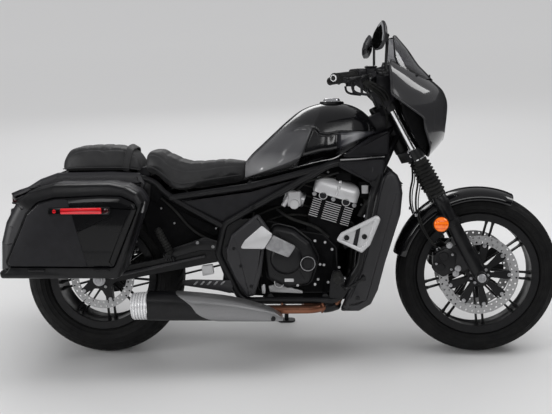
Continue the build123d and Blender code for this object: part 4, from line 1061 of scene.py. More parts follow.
def puffed(piece):
    """Swells a pad with air pressure, holding its base, then keeps the result."""
    bpy.context.view_layer.objects.active = piece
    remesh = piece.modifiers.new("voxels", "REMESH")
    remesh.mode = "VOXEL"
    remesh.voxel_size = SEAT_VOXEL * MM
    bpy.ops.object.modifier_apply(modifier=remesh.name)
    rest = [vertex.co.copy() for vertex in piece.data.vertices]
    low_z = min(point.z for point in rest)
    held = piece.vertex_groups.new(name="held")
    held.add([i for i, point in enumerate(rest) if point.z < low_z + SEAT_HELD * MM], 1.0,
             "REPLACE")
    cloth = piece.modifiers.new("cloth", "CLOTH")
    cloth.settings.quality = 6
    cloth.settings.use_pressure = True
    cloth.settings.uniform_pressure_force = SEAT_PRESSURE
    cloth.settings.tension_stiffness = 25
    cloth.settings.compression_stiffness = 25
    cloth.settings.bending_stiffness = 2
    cloth.settings.vertex_group_mass = held.name
    cloth.settings.effector_weights.gravity = 0
    cloth.point_cache.frame_start = 1
    cloth.point_cache.frame_end = CLOTH_FRAMES
    for step in range(1, CLOTH_FRAMES + 1):
        bpy.context.scene.frame_set(step)
    shaped = piece.evaluated_get(bpy.context.evaluated_depsgraph_get())
    swollen = [vertex.co.copy() for vertex in shaped.data.vertices]
    piece.modifiers.remove(cloth)
    bpy.context.scene.frame_set(1)
    for vertex, start, stop in zip(piece.data.vertices, rest, swollen):
        move = stop - start
        if move.length > SEAT_SWELL * MM:
            move = move.normalized() * SEAT_SWELL * MM
        vertex.co = start + move


def channel(value, at, width=5):
    """Depth share of a sewn channel at one place."""
    return exp(-((value - at) / width)**2)


def seams(x, y, edge, welt, ribs):
    """Sewn channels: a welt along each side at the edge, and ribs across inside it."""
    across = sum(channel(x, place) for place in ribs) * (abs(y) < edge)
    return welt * channel(abs(y), edge, 4) + 3.0 * across


def rider_seams(x, y, z):
    """Depth of the rider's seat's channels."""
    if z < on_line(x, [(row[0], row[2]) for row in RIDER_ROWS]) - 34:
        return 0
    edge = on_line(x, [(row[0], row[4]) for row in RIDER_ROWS]) * 0.86
    return seams(x, y, edge, 3.5, range(270, 540, 45))


def passenger_seams(x, y, z):
    """Depth of the passenger's seat's channels."""
    return seams(x, y, 84, 3.0, range(-90, 100, 45)) if z >= 800 else 0


def seat(name, rows, node, depth_of):
    """Padded leather seat: swollen by cloth simulation, then its channels pressed in."""
    form = skin([pad_ring(rows, x) for x in spread(rows[0][0], rows[-1][0], 48)])
    piece = on_chassis(name, "leather", form, replaces=node, sharp=80)
    vertices = piece.data.vertices
    centre = sum((vertex.co for vertex in vertices), Vector()) / len(vertices)
    for vertex in vertices:
        vertex.co = centre + (vertex.co - centre) * SEAT_SHRINK
    puffed(piece)
    for vertex in piece.data.vertices:
        vertex.co.z -= depth_of(*(vertex.co / MM)) * MM
    for polygon in piece.data.polygons:
        polygon.use_smooth = True
    smooth = piece.modifiers.new("smooth", "SUBSURF")
    smooth.levels = smooth.render_levels = 1


seat("rider_saddle", RIDER_ROWS, "rider_seat", rider_seams)
seat("passenger_pad", PASSENGER_ROWS, "passenger_seat", passenger_seams)
on_chassis("seat_bridge", "black_plastic", block((56, 170, 36), 12, 4, (176, 0, 738)))


def over_seat(rows, x, proud):
    """Ring round a seat's sides and top, standing a little proud of it."""
    ring = pad_ring(rows, x)
    middle = Vector((x, 0, (ring[0].z + ring[PAD_STEPS // 2].z) / 2))
    return [middle + (point - middle) * (1 + proud / max((point - middle).length, 1))
            for point in ring]


strap = skin([over_seat(PASSENGER_ROWS, x, proud)
              for x, proud in ((98, 2), (99, 6), (122, 6), (123, 2))], closed=True, caps=False)
lean_back = Matrix.Translation((110, 0, 742)) @ Matrix.Rotation(radians(10), 4, "Y")
on_chassis("grab_strap", "leather",
           shifted(strap, lean_back @ Matrix.Translation((-110, 0, -742))), sharp=50)
for count, (rows, first, last, height, side) in enumerate(
        (*ends, side) for ends in ((RIDER_ROWS, 190, 560, 0.30),
                                   (PASSENGER_ROWS, -140, 168, 0.16)) for side in SIDES):
    path = []
    for x in spread(first, last, 12):
        bottom, top, low, _ = between(rows, x)
        path.append((x, side * (low + 1.5), bottom + (top - bottom) * height))
    chassis_pipe(f"seat_welt_{count + 1}", "leather", 2.2, path)

# ---------------------------------------------------------------- fairing, lamp and screen

FAIRING_BACK = 1118
FAIRING_ROWS = (                 # height, nose, half width at the back plane
    (782, 1296, 188), (850, 1351, 232), (910, 1368, 245), (970, 1372, 250), (1010, 1364, 250),
    (1050, 1343, 248), (1108, 1270, 240), (1140, 1213, 230), (1164, 1158, 222),
)
SCREEN_ROWS = ((1082, 1312, 216), (1110, 1287, 206), (1142, 1256, 196), (1201, 1215, 170),
               (1254, 1170, 135))
FAIRING_EDGE = [(782, 1294), (828, 1290), (904, 1262), (941, 1258), (1030, 1133), (1126, 1127),
                (1164, 1136)]
LINER_EDGE = [(800, 1262), (850, 1236), (904, 1205), (950, 1180), (990, 1172), (1040, 1180)]
DASH_EDGE = [(1040, 1150), (1120, 1138), (1150, 1146)]
SCREEN_EDGE = [(1082, 1196), (1130, 1166), (1170, 1150), (1254, 1151)]
SCREW_HEIGHT = 1098
LAMP_AT = Vector((1318, 0, 930))
LAMP_RADIUS = 84


def nose_point(rows, edge_line, z, share, deep=0.0):
    """Point on a level arc round the nose, by its share from one side edge to the other."""
    nose, half = between(rows, z)
    depth = nose - FAIRING_BACK
    radius = (depth**2 + half**2) / (2 * depth)
    centre = nose - radius
    reach = min(max((on_line(z, edge_line) - centre) / radius, -0.99), 0.999)
    turn = (pi / 2 - asin(reach)) * share
    return Vector((centre + (radius - deep) * cos(turn), (radius - deep) * sin(turn), z))


def nose_shell(rows, edge_line, low, high, levels):
    """Open shell round the nose between two heights, cut back along its edge line."""
    return skin([[nose_point(rows, edge_line, z, share) for share in spread(-1, 1, 56)]
                 for z in spread(low, high, levels)], loop=False)


def narrower(rows, ahead, aside):
    """Rows of a shell that stands inside another one."""
    return [(height, nose - ahead, half - aside) for height, nose, half in rows]


def bored(piece, radius):
    """Round hole through a piece for the lamp."""
    mesh = bpy.data.meshes.new("cutter")
    form = lathe([(0, -120), (radius, -120), (radius, 120), (0, 120)], 96)
    form.to_mesh(mesh)
    form.free()
    mesh.transform(Matrix.Scale(MM, 4))
    cutter = in_scene("cutter", mesh)
    cutter.matrix_world = BIKE @ placed(LAMP_AT, FORWARD)
    cut = piece.modifiers.new("hole", "BOOLEAN")
    cut.object = cutter
    cut.operation = "DIFFERENCE"
    cut.solver = "EXACT"
    bpy.context.view_layer.objects.active = piece
    for modifier in list(piece.modifiers):
        bpy.ops.object.modifier_apply(modifier=modifier.name)
    bpy.data.objects.remove(cutter)


shell = on_steering("fairing_shell", "fairing_paint",
                    nose_shell(FAIRING_ROWS, FAIRING_EDGE, 782, 1160, 44),
                    replaces="fairing", thick=4, sharp=50)
bored(shell, LAMP_RADIUS + 2)
for side in SIDES:
    rim = [nose_point(FAIRING_ROWS, FAIRING_EDGE, z, -1, 2) for z in spread(790, 1158, 40)]
    steering_pipe(f"fairing_rim_{WORD[side]}", "satin_grey", 3.2,
                  [(p.x, -side * p.y, p.z) for p in rim])
liner = on_steering("fairing_liner", "deep_black",
                    nose_shell(narrower(FAIRING_ROWS, 16, 40), LINER_EDGE, 800, 1040, 20),
                    thick=3, sharp=50)
bored(liner, LAMP_RADIUS - 2)
on_steering("fairing_dash", "black_plastic",
            nose_shell(narrower(FAIRING_ROWS, 22, 22), DASH_EDGE, 1040, 1150, 12), thick=3,
            sharp=50)
on_steering("screen", "smoked_screen", nose_shell(SCREEN_ROWS, SCREEN_EDGE, 1082, 1254, 30),
            replaces="windscreen", thick=4, sharp=50)
screw_spots = [nose_point(SCREEN_ROWS, SCREEN_EDGE, SCREW_HEIGHT, share, -1)
               for share in (-0.75, -0.25, 0.25, 0.75)]
steering_screws("screen_screws", "black_plastic", 5,
                [(spot, (spot - Vector((1120, 0, SCREW_HEIGHT))).normalized())
                 for spot in screw_spots])

lamp_frame = placed(LAMP_AT, FORWARD, LEFT)
for name, slot, node, steps, closed, profile in (
        ("lamp_bowl", "chrome", "headlamp", 96, False,
         [(0, -58), (30, -56), (58, -44), (74, -18), (79, 12), (79, 16), (84, 16), (84, -18),
          (66, -50), (34, -62), (0, -64)]),
        ("lamp_lens", "lamp_glass", None, 96, False,
         [(0, 44), (30, 42.5), (58, 37), (74, 29), (79, 22), (79, 19), (72, 24), (56, 33),
          (30, 38.5), (0, 40)]),
        ("lamp_bezel", "satin_black", None, 96, True,
         [(78, 18), (80, 30), (84, 33), (88, 28), (88, 8), (84, 2), (82, 6)]),
        ("lamp_bulb", "steel", None, 48, False,
         [(0, 14), (13, 12), (16, 4), (16, -30), (22, -34), (22, -56), (0, -56)])):
    on_steering(name, slot, lathe(profile, steps, closed), replaces=node, at=lamp_frame)
on_steering("lamp_reflector_bar", "chrome", block((140, 7, 6), 2, 1, (0, 0, 2)),
            at=lamp_frame)

# ---------------------------------------------------------------- fork legs

GAITER_LOW, GAITER_LENGTH, GAITER_FOLDS = 361, 157, 9
SIGNAL_CLAMP = 243               # up the fork from the axle

gaiter = [(22, 0), (31, 0), (31, 9), (28, 11)]
fold_half = (GAITER_LENGTH - 24) / GAITER_FOLDS / 2
for fold in range(GAITER_FOLDS):
    at = 12 + (GAITER_LENGTH - 24) * (fold + 0.5) / GAITER_FOLDS
    taper = 37 - 4.5 * fold / GAITER_FOLDS
    gaiter += [(taper - sunk, at + fold_half * share)
               for sunk, share in ((8, -0.92), (1.5, -0.28), (0, 0), (1.5, 0.28), (8, 0.92))]
gaiter += [(25, GAITER_LENGTH - 11), (27, GAITER_LENGTH - 9), (27, GAITER_LENGTH),
           (22, GAITER_LENGTH)]
on_steering("ribbed_gaiters", "rubber",
            *(turned(gaiter, 48, on_fork(GAITER_LOW, side), UP_FORK, closed=True)
              for side in SIDES), replaces="fork_gaiters", sharp=60)

sliders = [rod(on_fork(0, -1), on_fork(0, 1), 10)]
for side in SIDES:
    boss, out = on_fork(0, side), Vector((0, side, 0))
    sliders += [
        turned([(0, -30), (16, -30), (20, -26), (24, -14), (26, 10), (26.5, 150), (25.5, 300),
                (27, 318), (28, 322), (28, 352), (26, 358), (22, 359), (0, 359)], 56, boss,
               UP_FORK),
        rod(boss - out * 20, boss + out * 30, 24, 40, 3),
        plate([(1470, 440), (1500, 372), (1392, 330), (1330, 418), (1345, 440)], 99, 109, 8,
              side)]
    sliders += [turned([(26, -7), (29, -5), (29, 5), (26, 7)], 48, on_fork(height, side),
                       UP_FORK, closed=True) for height in (250, 330)]
on_steering("fork_legs", "satin_black", *sliders, replaces="fork_sliders")
on_steering("axle_nuts", "steel",
            *(turned([(0, 2), (7, 2), (8, 9), (15, 9), (17, 7), (17, 0), (0, 0)], 40,
                     on_fork(0, side) + Vector((0, side * 30, 0)), (0, side, 0))
              for side in SIDES))
steering_screws("caliper_bolts", "steel", 10,
                outwards(110, ((1368, 444), (1402, 352), (1394, 332))), hex_bolt, 7)

CALIPER_OUTLINE = [(1306, 345), (1318, 416), (1360, 437), (1398, 410), (1392, 345), (1345, 318)]
calipers = []
for side in SIDES:
    calipers += [plate(CALIPER_OUTLINE, 82, 112, 14, side, 4),
                 plate(CALIPER_OUTLINE, 52, 66, 14, side, 4),
                 block((34, 62, 46), 8, 3, (1326, side * 74, 384))]
    calipers += [rod((x, side * 108, z), (x, side * 117, z), 17, 32, 2)
                 for x, z in ((1336, 358), (1348, 402))]
on_steering("front_brake_calipers", "satin_black", *calipers, replaces="front_calipers",
            bevel=1.2)
steering_screws("caliper_pins", "steel", 5,
                outwards(113, ((1318, 372), (1376, 350), (1380, 408))))

# ---------------------------------------------------------------- front mudguard

GUARD_OUTER, GUARD_EDGE, GUARD_HALF = 342, 296, 80
GUARD_FIRST, GUARD_LAST = 66, 166


def guard_ring(share):
    """Section of the mudguard: a domed band with skirts, by its share round the wheel."""
    turn = radians(GUARD_FIRST + (GUARD_LAST - GUARD_FIRST) * share)
    tip = min(ease(share, 0, 0.05), ease(1 - share, 0, 0.04))
    ring = []
    for across in spread(-1, 1, 32):
        crown = cos(abs(across) * pi / 2)**0.72
        radius = GUARD_EDGE + (GUARD_OUTER - GUARD_EDGE) * crown * (0.985 + 0.015 * tip)
        out = GUARD_HALF * sin(across * pi / 2) * (0.94 + 0.06 * tip)
        if abs(across) > 0.99:
            radius -= 2
            out *= 0.985
        ring.append(Vector((FRONT_AXLE.x + radius * cos(turn), out,
                            FRONT_AXLE.z + radius * sin(turn))))
    return ring


on_steering("front_mudguard", "gloss_black",
            skin([guard_ring(share) for share in spread(0, 1, 96)], loop=False),
            replaces="front_fender", thick=3, levels=1, sharp=60)
on_steering("mudguard_brackets", "satin_black",
            *(rod(on_fork(height, side) - Vector((0, side * 36, 0)),
                  on_fork(height, side) - Vector((0, side * 20, 0)), 7)
              for side in SIDES for height in (308, 340)))

signal_lenses, signal_cups = [], []
for side in SIDES:
    at, out = (1327, side * 162, 536), (0, side, 0)
    signal_lenses.append(turned([(0, 30), (14, 29.5), (24, 26), (28, 20), (28, 14), (0, 14)],
                                56, at, out))
    signal_cups += [
        turned([(28.5, 12), (29, 20), (32, 20), (33, 14), (30, 2), (20, -4), (10, -6), (0, -6),
                (0, 12)], 56, at, out),
        rod(on_fork(SIGNAL_CLAMP, side) + Vector((-18, side * 24, 0)),
            (1334, side * 160, 536), 7),
        turned([(27, -12), (33, -10), (33, 10), (27, 12)], 48, on_fork(SIGNAL_CLAMP, side),
               UP_FORK, closed=True)]
on_steering("front_signal_lenses", "orange_lens", *signal_lenses, replaces="front_signals")
on_steering("front_signal_cups", "satin_black", *signal_cups)

# ---------------------------------------------------------------- side cases

CASE_OUTLINE = [(-262, 652), (-202, 694), (-108, 718), (96, 720), (151, 708), (199, 682),
                (221, 644), (122, 362), (-322, 364), (-330, 400), (-326, 500), (-306, 574)]
FRAME_OUTLINE = [(-262, 652), (-202, 694), (-108, 718), (96, 720), (151, 708), (199, 682),
                 (221, 644), (122, 362), (-322, 364), (-330, 396), (-300, 398), (-204, 612),
                 (-232, 634)]
LID_OUTLINE = [(-212, 612), (-166, 653), (-104, 668), (64, 676), (138, 674), (188, 650),
               (200, 625), (108, 408), (-282, 412), (-294, 430)]
CASE_INNER, CASE_OUTER, LID_OUTER = 192, 345, 366
CASE_DEPTH = CASE_OUTER - CASE_INNER
FRAME_TOP = CASE_OUTER + 16
KNUCKLE_LENGTH = 29.7
CASE_LEVELS = [(CASE_INNER, 12), (CASE_INNER + 3, 5), (CASE_INNER + 12, 0)]
CASE_LEVELS += [(CASE_INNER + CASE_DEPTH * share, amount)
                for share, amount in ((0.45, 0), (0.46, 1.2), (0.48, 1.2), (0.49, 0))]
CASE_LEVELS += [(CASE_OUTER + out, amount) for out, amount in (
    (-62, 0), (-42, 2), (-24, 7), (-10, 15), (-2, 26), (1, 40))]
LID_PLATES = (                   # name, slot, from and to beyond the lid, corner, edge, outline
    ("facet", "black_plastic", -2, 3, 14, 1.6,
     [(-206, 604), (-160, 646), (-100, 662), (-56, 664), (10, 416), (6, 414), (-276, 417),
      (-286, 432)]),
    ("bar", "lid_black", -2, 9, 7, 2,
     [(-128, 606), (-124, 633), (98, 636), (104, 622), (98, 606)]),
    ("reflector", "red_lens", 6, 13, 5, 2, [(-80, 610), (-80, 631), (70, 633), (72, 610)]),
    ("latch", "smoked_lens", 6, 12, 4, 1.5,
     [(80, 610), (80, 630), (92, 631), (97, 620), (92, 610)]),
)


def framed(rim_rings, lip_rings, *more):
    """Rim and inner lip, with the flat face between them."""
    return welded(skin(rim_rings, caps=False), skin(lip_rings, caps=False),
                  filled(rim_rings[-1], lip_rings[0]), *more)


def side_case(side):
    """Hard case: rounded shell, raised frame, inset glossy lid, reflector and latch."""
    word = WORD[side]
    on_lid = partial(dress, f"{word}_lid")
    opening = rounded(LID_OUTLINE, 20, 7)
    on_chassis(f"{word}_case_shell", "satin_grey", moulded(CASE_OUTLINE, 30, 7, CASE_LEVELS, side),
               replaces=f"{word}_case", sharp=50)
    rim = side_rings(rounded(FRAME_OUTLINE, 16, 6),
                     [(CASE_OUTER - 46, 4), (CASE_OUTER - 40, 1), (CASE_OUTER - 20, 1),
                      (CASE_OUTER, 3), (FRAME_TOP - 9, 5), (FRAME_TOP - 3, 8),
                      (FRAME_TOP, 13)], side)
    lip = side_rings(opening, [(FRAME_TOP, -3), (FRAME_TOP - 2, -1), (CASE_OUTER - 4, 0),
                               (CASE_OUTER - 5, 6)], side)
    on_chassis(f"{word}_case_frame", "satin_black", framed(rim, lip), sharp=44)
    door = [(CASE_OUTER - 6, 3), (CASE_OUTER + 4, 1.5), (LID_OUTER - 8, 1.5),
            (LID_OUTER - 3, 4), (LID_OUTER, 11), (LID_OUTER + 1.5, 26)]
    on_lid(f"{word}_case_lid", "lid_black", skin(side_rings(opening, door, side)),
           replaces=f"{word}_lid", sharp=50)
    for name, slot, inner, outer, corner, edge, outline in LID_PLATES:
        on_lid(f"{word}_case_{name}", slot,
               plate(outline, LID_OUTER + inner, LID_OUTER + outer, corner, side, edge),
               sharp=50)
    on_lid(f"{word}_case_lock", "red_lens",
           turned([(0, 2), (3, 2), (3.5, 4), (6, 4), (7, 2), (7, -4), (0, -4)], 28,
                  (-103, side * (LID_OUTER + 9), 620), (0, side, 0)))
    for i, start in enumerate((-210, -179.7, 30, 60.3)):
        dress("chassis" if i % 2 == 0 else f"{word}_lid", f"{word}_case_knuckle_{i + 1}",
              "satin_black",
              rod((start, side * LID_OUTER, 400),
                  (start + KNUCKLE_LENGTH, side * LID_OUTER, 400), 5, 20, 0.6))
    on_chassis(f"{word}_case_feet", "rubber",
               *(rod((x, side * 165, z), (x, side * 196, z), 11, 24, 2)
                 for x, z in ((25, 672), (-140, 655))))
    on_chassis(f"{word}_case_hasp", "nose_silver",
               plate([(206, 604), (206, 650), (222, 646), (214, 606)], 300, 322, 4, side, 2),
               sharp=50)


for side in SIDES:
    side_case(side)

# ---------------------------------------------------------------- exhaust

MUFFLER_SIDE = 228
MUFFLER_ROWS = (                 # place, bottom, top, half width, squareness
    (206, 180, 293, 51, 0.66), (314, 179, 290, 54, 0.66), (420, 179, 281, 54, 0.62),
    (521, 179, 267, 53, 0.56), (600, 179, 248, 48, 0.50), (673, 179, 225, 40, 0.42),
    (704, 179, 208, 33, 0.40), (722, 180, 193, 27, 0.40),
)
MUFFLER_STEPS = 56
CAN_END, NOSE_END = 207, 720
SPLIT_TOP, SPLIT_BOTTOM = 314, 500


def muffler_ring(x_of, grow=0.0):
    """Section of the silencer; x_of gives each point's place from its height share."""
    ring = []
    for i in range(MUFFLER_STEPS):
        turn = 2 * pi * i / MUFFLER_STEPS
        x = x_of((1 - cos(turn)) / 2)
        bottom, top, half, square = between(MUFFLER_ROWS, x)
        ring.append(Vector((x, -MUFFLER_SIDE + signed(sin(turn), square) * (half + grow),
                            (bottom + top) / 2
                            + signed(-cos(turn), square) * ((top - bottom) / 2 + grow))))
    return ring


def split_x(height):
    """Slanted line where the silver nose piece meets the black rear can."""
    return SPLIT_BOTTOM + (SPLIT_TOP - SPLIT_BOTTOM) * height**0.72


on_chassis("silencer_can", "satin_black",
           skin([muffler_ring(lambda h, s=s: CAN_END + (split_x(h) + 14 - CAN_END) * s, -1.6)
                 for s in spread(0, 1, 30)]), replaces="muffler", sharp=50)
nose_rings = [muffler_ring(lambda h: split_x(h) + 3, -2.2), muffler_ring(split_x, -0.4)]
nose_rings += [muffler_ring(lambda h, s=s: split_x(h) + 2 + (NOSE_END - split_x(h)) * s, 0.6)
               for s in spread(0, 1, 40)]
on_chassis("silencer_nose", "nose_silver", skin(nose_rings), sharp=50)

tip = [(52, 0), (53, 4)]
for rib in range(5):
    tip += [(radius - rib * 0.4, out + rib * 11)
            for radius, out in ((53.5, 5), (53.5, 12), (50.5, 13), (50.5, 15))]
tip += [(50, 60), (47, 63), (42, 63), (40, 60), (38, 10), (0, 8)]
TIP_AT, TIP_ALONG = (208, -MUFFLER_SIDE, 236), (-1, 0, -0.048)
on_chassis("silencer_tip", "bright_tip", turned(tip, 72, TIP_AT, TIP_ALONG), sharp=30)
on_chassis("silencer_outlet", "satin_black",
           turned([(26, 30), (28, 62), (31, 62), (31, 28)], 48, TIP_AT, TIP_ALONG, closed=True))
chassis_screws("silencer_bolt", "satin_black", 8, [((686, -MUFFLER_SIDE - 37, 192), RIGHT)],
               hex_bolt, 6)
on_chassis("heel_guard", "satin_grey",
           plate([(338, 302), (330, 322), (372, 326), (520, 322), (528, 300), (520, 270),
                  (470, 282)], 168, 174, 6))
on_chassis("heel_guard_slots", "steel",
           *(plate([(x, 304), (x + 14, 319), (x + 24, 319), (x + 10, 304)], 174, 177, 2)
             for x in range(372, 502, 26)))
on_chassis("belt_tensioner_block", "silver_paint",
           plate([(408, 334), (404, 372), (446, 378), (452, 342)], 120, 146, 4), sharp=50)

# ---------------------------------------------------------------- guards and shrouds

SHROUD_OUTLINE = [(1138, 745), (1166, 722), (1180, 690), (1186, 650), (1178, 567), (1150, 478),
                  (1118, 375), (1091, 270), (1064, 214), (1018, 187), (950, 187), (946, 196),
                  (962, 236), (1010, 332), (1062, 560), (1094, 703)]
on_chassis("radiator_side_shrouds", "satin_grey",
           *(moulded(SHROUD_OUTLINE, 14, 4, [(104, 4), (108, 0.5), (118, 0), (125, 2.5), (129, 7),
                                             (131, 14), (130.5, 24)], side) for side in SIDES),
           plate([(1085, 262), (1060, 213), (1013, 187), (1002, 197), (1046, 222),
                  (1070, 268)], -109, 109, 4), replaces="radiator_shrouds", sharp=50)
for side in SIDES:
    chassis_pipe(f"{WORD[side]}_shroud_edge", "black_plastic", 1.8,
                 [(x, side * 131, z) for x, z in ((1126, 726), (1108, 690), (1084, 566),
                                                  (1036, 352), (984, 240))])

GUARD_OUTLINE = [(927, 476), (946, 505), (1084, 573), (1098, 558), (1058, 458), (1026, 427)]
POCKET = [(950, 478), (960, 497), (1072, 552), (1076, 544), (1044, 466), (1022, 446)]
guards = []
for side in SIDES:
    lip = side_rings(rounded(POCKET, 7, 5), [(183, -2), (181.5, 0.5), (176, 3)], side)
    base = bmesh.new()
    base.faces.new([base.verts.new(point) for point in lip[-1]])
    rim = side_rings(rounded(GUARD_OUTLINE, 11, 5),
                     [(168, 3), (170, 0), (178, 0), (182, 3), (183, 6)], side)
    guards += [framed(rim, lip, base),
               plate([(558, 448), (578, 480), (644, 537), (686, 502), (652, 446)], 178, 189, 9,
                     side, 3)]
on_chassis("side_guard_plates", "silver_paint", *guards, replaces="side_guards", sharp=34)
on_chassis("pivot_accent_tails", "cast_aluminium",
           *(plate([(654, 448), (686, 500), (774, 456), (745, 412)], 176, 186, 8, side, 2.5)
             for side in SIDES), sharp=40)
on_chassis("side_guard_slots", "black_plastic",
           *(plate([(990, 452), (1006, 446), (1022, 528), (1006, 522)], 174, 180, 3, side)
             for side in SIDES))
chassis_screws("side_guard_bolts", "satin_black", 8, outwards(177, ((968, 486), (1036, 490))),
               hex_bolt, 6)

PIVOT_OUTLINE = [(505, 440), (525, 500), (629, 584), (676, 517), (652, 440), (640, 350),
                 (613, 263), (582, 255), (536, 330), (508, 400)]
on_chassis("pivot_side_covers", "satin_grey",
           *(moulded(PIVOT_OUTLINE, 14, 5, [(168, 3), (170, 0.5), (176, 0), (180, 3), (182, 8),
                                            (182.5, 16)], side) for side in SIDES),
           replaces="pivot_covers", sharp=50)
chassis_screws("pivot_cover_screws", "satin_black", 6,
               outwards(181, ((534, 448), (600, 300), (560, 380))))

NECK_LOWER = [(940, 776), (1030, 780), (1118, 784), (1108, 702), (1090, 674), (1010, 718),
              (942, 756)]
NECK_LOWER_OUT = [(940, 166), (1000, 152), (1040, 138), (1118, 134)]
NECK_UPPER = [(946, 792), (1000, 829), (1064, 868), (1100, 880), (1138, 892), (1136, 796),
              (1040, 792)]
NECK_UPPER_OUT = [(940, 166), (1000, 150), (1040, 136), (1072, 112), (1100, 92), (1140, 84)]


def neck_panel(outline, out_line, side):
    """Cover that tapers in towards the steering head."""
    return skin([[Vector((p.x, side * (on_line(p.x, out_line) - drop), p.y))
                  for p in inset(rounded(outline, 9, 5), amount)]
                 for drop, amount in ((34, 0), (5, 0), (1.5, 0.8), (0, 3), (0, 9))])


on_chassis("neck_side_panels", "black_plastic",
           *(neck_panel(outline, out_line, side) for side in SIDES
             for outline, out_line in ((NECK_LOWER, NECK_LOWER_OUT),
                                       (NECK_UPPER, NECK_UPPER_OUT))),
           replaces="neck_panels", sharp=50)
for side in SIDES:
    chassis_pipe(f"{WORD[side]}_neck_strip", "disc_steel", 3.2,
                 [(x, side * (on_line(x, NECK_UPPER_OUT) + 0.5), 784 + (x - 942) * 0.03)
                  for x in range(946, 1140, 8)])
    on_chassis(f"{WORD[side]}_neck_ring", "satin_grey",
               turned([(13, 0), (14, 4), (18, 4), (19, 0)], 40, (1054, side * 137.5, 745),
                      (0, side, 0)))
chassis_screws("neck_bolts", "steel", 9, outwards(137.5, ((1054, 745),)), height=5)
on_chassis("triangle_side_covers", "black_plastic",
           *(moulded([(318, 632), (600, 668), (858, 740), (512, 554), (492, 542)], 9, 4,
                     [(139, 0), (146, 0), (149, 2), (150, 6)], side) for side in SIDES),
           replaces="side_covers", sharp=50)

# ---------------------------------------------------------------- engine

CYLINDER_LEAN = radians(17)
CYLINDER_BASE = Vector((865, 0, 440))
CYLINDER_UP = Vector((sin(CYLINDER_LEAN), 0, cos(CYLINDER_LEAN)))
HEAD_FRAME = placed(CYLINDER_BASE, CYLINDER_UP, (CYLINDER_UP.z, 0, -CYLINDER_UP.x))
on_head = partial(on_chassis, at=HEAD_FRAME)

on_head("cylinder_core", "deep_black", block((146, 230, 100), 20, 1, (0, 0, 62)),
        block((166, 250, 96), 22, 1, (0, 0, 154)), replaces="cylinder_block", sharp=30)
on_head("cylinder_fins", "silver_paint",
        *(shifted(block((width, 259, 2.6), 2, 0.6), Matrix.Translation((x, 0, 114 + rib * 8.4)))
          for rib in range(9) for x, width in ((-62, 34), (2, 62), (64, 34))), sharp=30)
on_head("head_cover_shell", "silver_paint",
        slab(rounded([(-89, -131), (89, -131), (89, 131), (-89, 131)], 26, 6),
             ((206, 0.5), (208, 0), (238, 0), (250, 2), (260, 7), (267, 15), (271, 26),
              (273, 40))),
        block((12, 250, 12), 4, 3, (4, 0, 268)), block((12, 263, 44), 4, 3, (4, 0, 232)),
        replaces="head_cover", sharp=40)
for name, slot, profile in (
        ("head_plugs", "black_plastic", [(0, 3), (12, 3), (14, 0), (14, -6), (0, -6)]),
        ("head_plug_rings", "silver_paint", [(13.4, 0), (14, 3.4), (16, 3.4), (16.6, 0)])):
    on_head(name, slot, *(turned(profile, 36, (x, side * 128, 201), (0, side, 0))
                          for side in SIDES for x in (-46, 46)))
chassis_screws("head_bolts", "steel", 6.5,
               [(HEAD_FRAME @ (Vector((x, side * 127, 197)) * MM) / MM, (0, side, 0))
                for x in (-80, -4, 80) for side in SIDES], hex_bolt, 6)

CRANK_OUTLINE = [(622, 275), (655, 262), (900, 262), (935, 330), (930, 440), (880, 492),
                 (800, 505), (668, 548), (622, 520)]
on_chassis("crank_case", "deep_black",
           moulded(CRANK_OUTLINE, 18, 5,
                   [(-124, 3), (-121, 0), (-70, 0), (-68, 3), (-60, 3), (-58, 0), (0, 0),
                    (58, 0), (60, 3), (68, 3), (70, 0), (95, 0), (96, 4)], 1),
           moulded(CRANK_OUTLINE, 18, 5, [(112, -3), (113, -4), (121, -4), (122, -3)]),
           sharp=36)

CLUTCH_OUTLINE = [(641, 470), (690, 538), (765, 520), (828, 470), (862, 400), (828, 300),
                  (740, 284), (660, 320)]
OIL_CAP_AT = (819, -166, 386)
on_chassis("engine_side_covers", "satin_black",
           moulded(CLUTCH_OUTLINE, 34, 7, [(122, -3), (123, -4), (130, -4), (131, 0), (150, 1.5),
                                           (160, 5), (166, 12), (168, 22), (168.5, 34)]),
           turned([(0, 14), (44, 14), (54, 11), (60, 5), (62, 0)], 64, (735, -168, 405), RIGHT),
           turned([(0, 7), (18, 7), (21, 10), (28, 10), (31, 6), (31, 0)], 48, OIL_CAP_AT,
                  RIGHT),
           turned([(0, 46), (60, 46), (76, 42), (86, 32), (92, 14), (92, 0)], 72,
                  (800, 124, 385), LEFT),
           moulded([(628, 500), (735, 520), (735, 330), (628, 330)], 30, 7,
                   [(124, 0), (150, 1), (157, 5), (160, 12)], 1),
           replaces="engine_covers", sharp=40)
on_chassis("cover_cap_ring", "steel",
           turned([(26, 9), (26.5, 11), (28.5, 11), (29, 9)], 48, OIL_CAP_AT, RIGHT,
                  closed=True))
SIDE_BOLTS = ((831, 401), (866, 375), (881, 373), (940, 363), (897, 304), (920, 296),
              (847, 474), (886, 462), (913, 434), (846, 304), (858, 316), (779, 300),
              (1000, 330), (648, 300))
chassis_screws("right_cover_screws", "silver_paint", 5,
               [((x, -166 if x < 850 else -128, z), RIGHT) for x, z in SIDE_BOLTS])
chassis_screws("left_cover_screws", "steel", 5.5,
               [((800 + 84 * cos(a), 128, 385 + 84 * sin(a)), LEFT)
                for a in map(radians, range(30, 390, 60))], height=8)
on_chassis("sump_plate", "disc_steel",
           plate([(669, 268), (664, 292), (700, 300), (798, 272), (798, 262)], 124, 140, 4),
           sharp=50)
on_chassis("engine_bright_bits", "silver_paint",
           plate([(640, 262), (636, 294), (652, 296), (652, 262)], 124, 142, 3),
           plate([(728, 314), (728, 327), (764, 327), (764, 314)], 150, 170, 2),
           turned([(16, 0), (17, 4), (19, 4), (20, 0)], 36, (707, -160, 309), RIGHT), sharp=50)

# ---------------------------------------------------------------- engine fittings

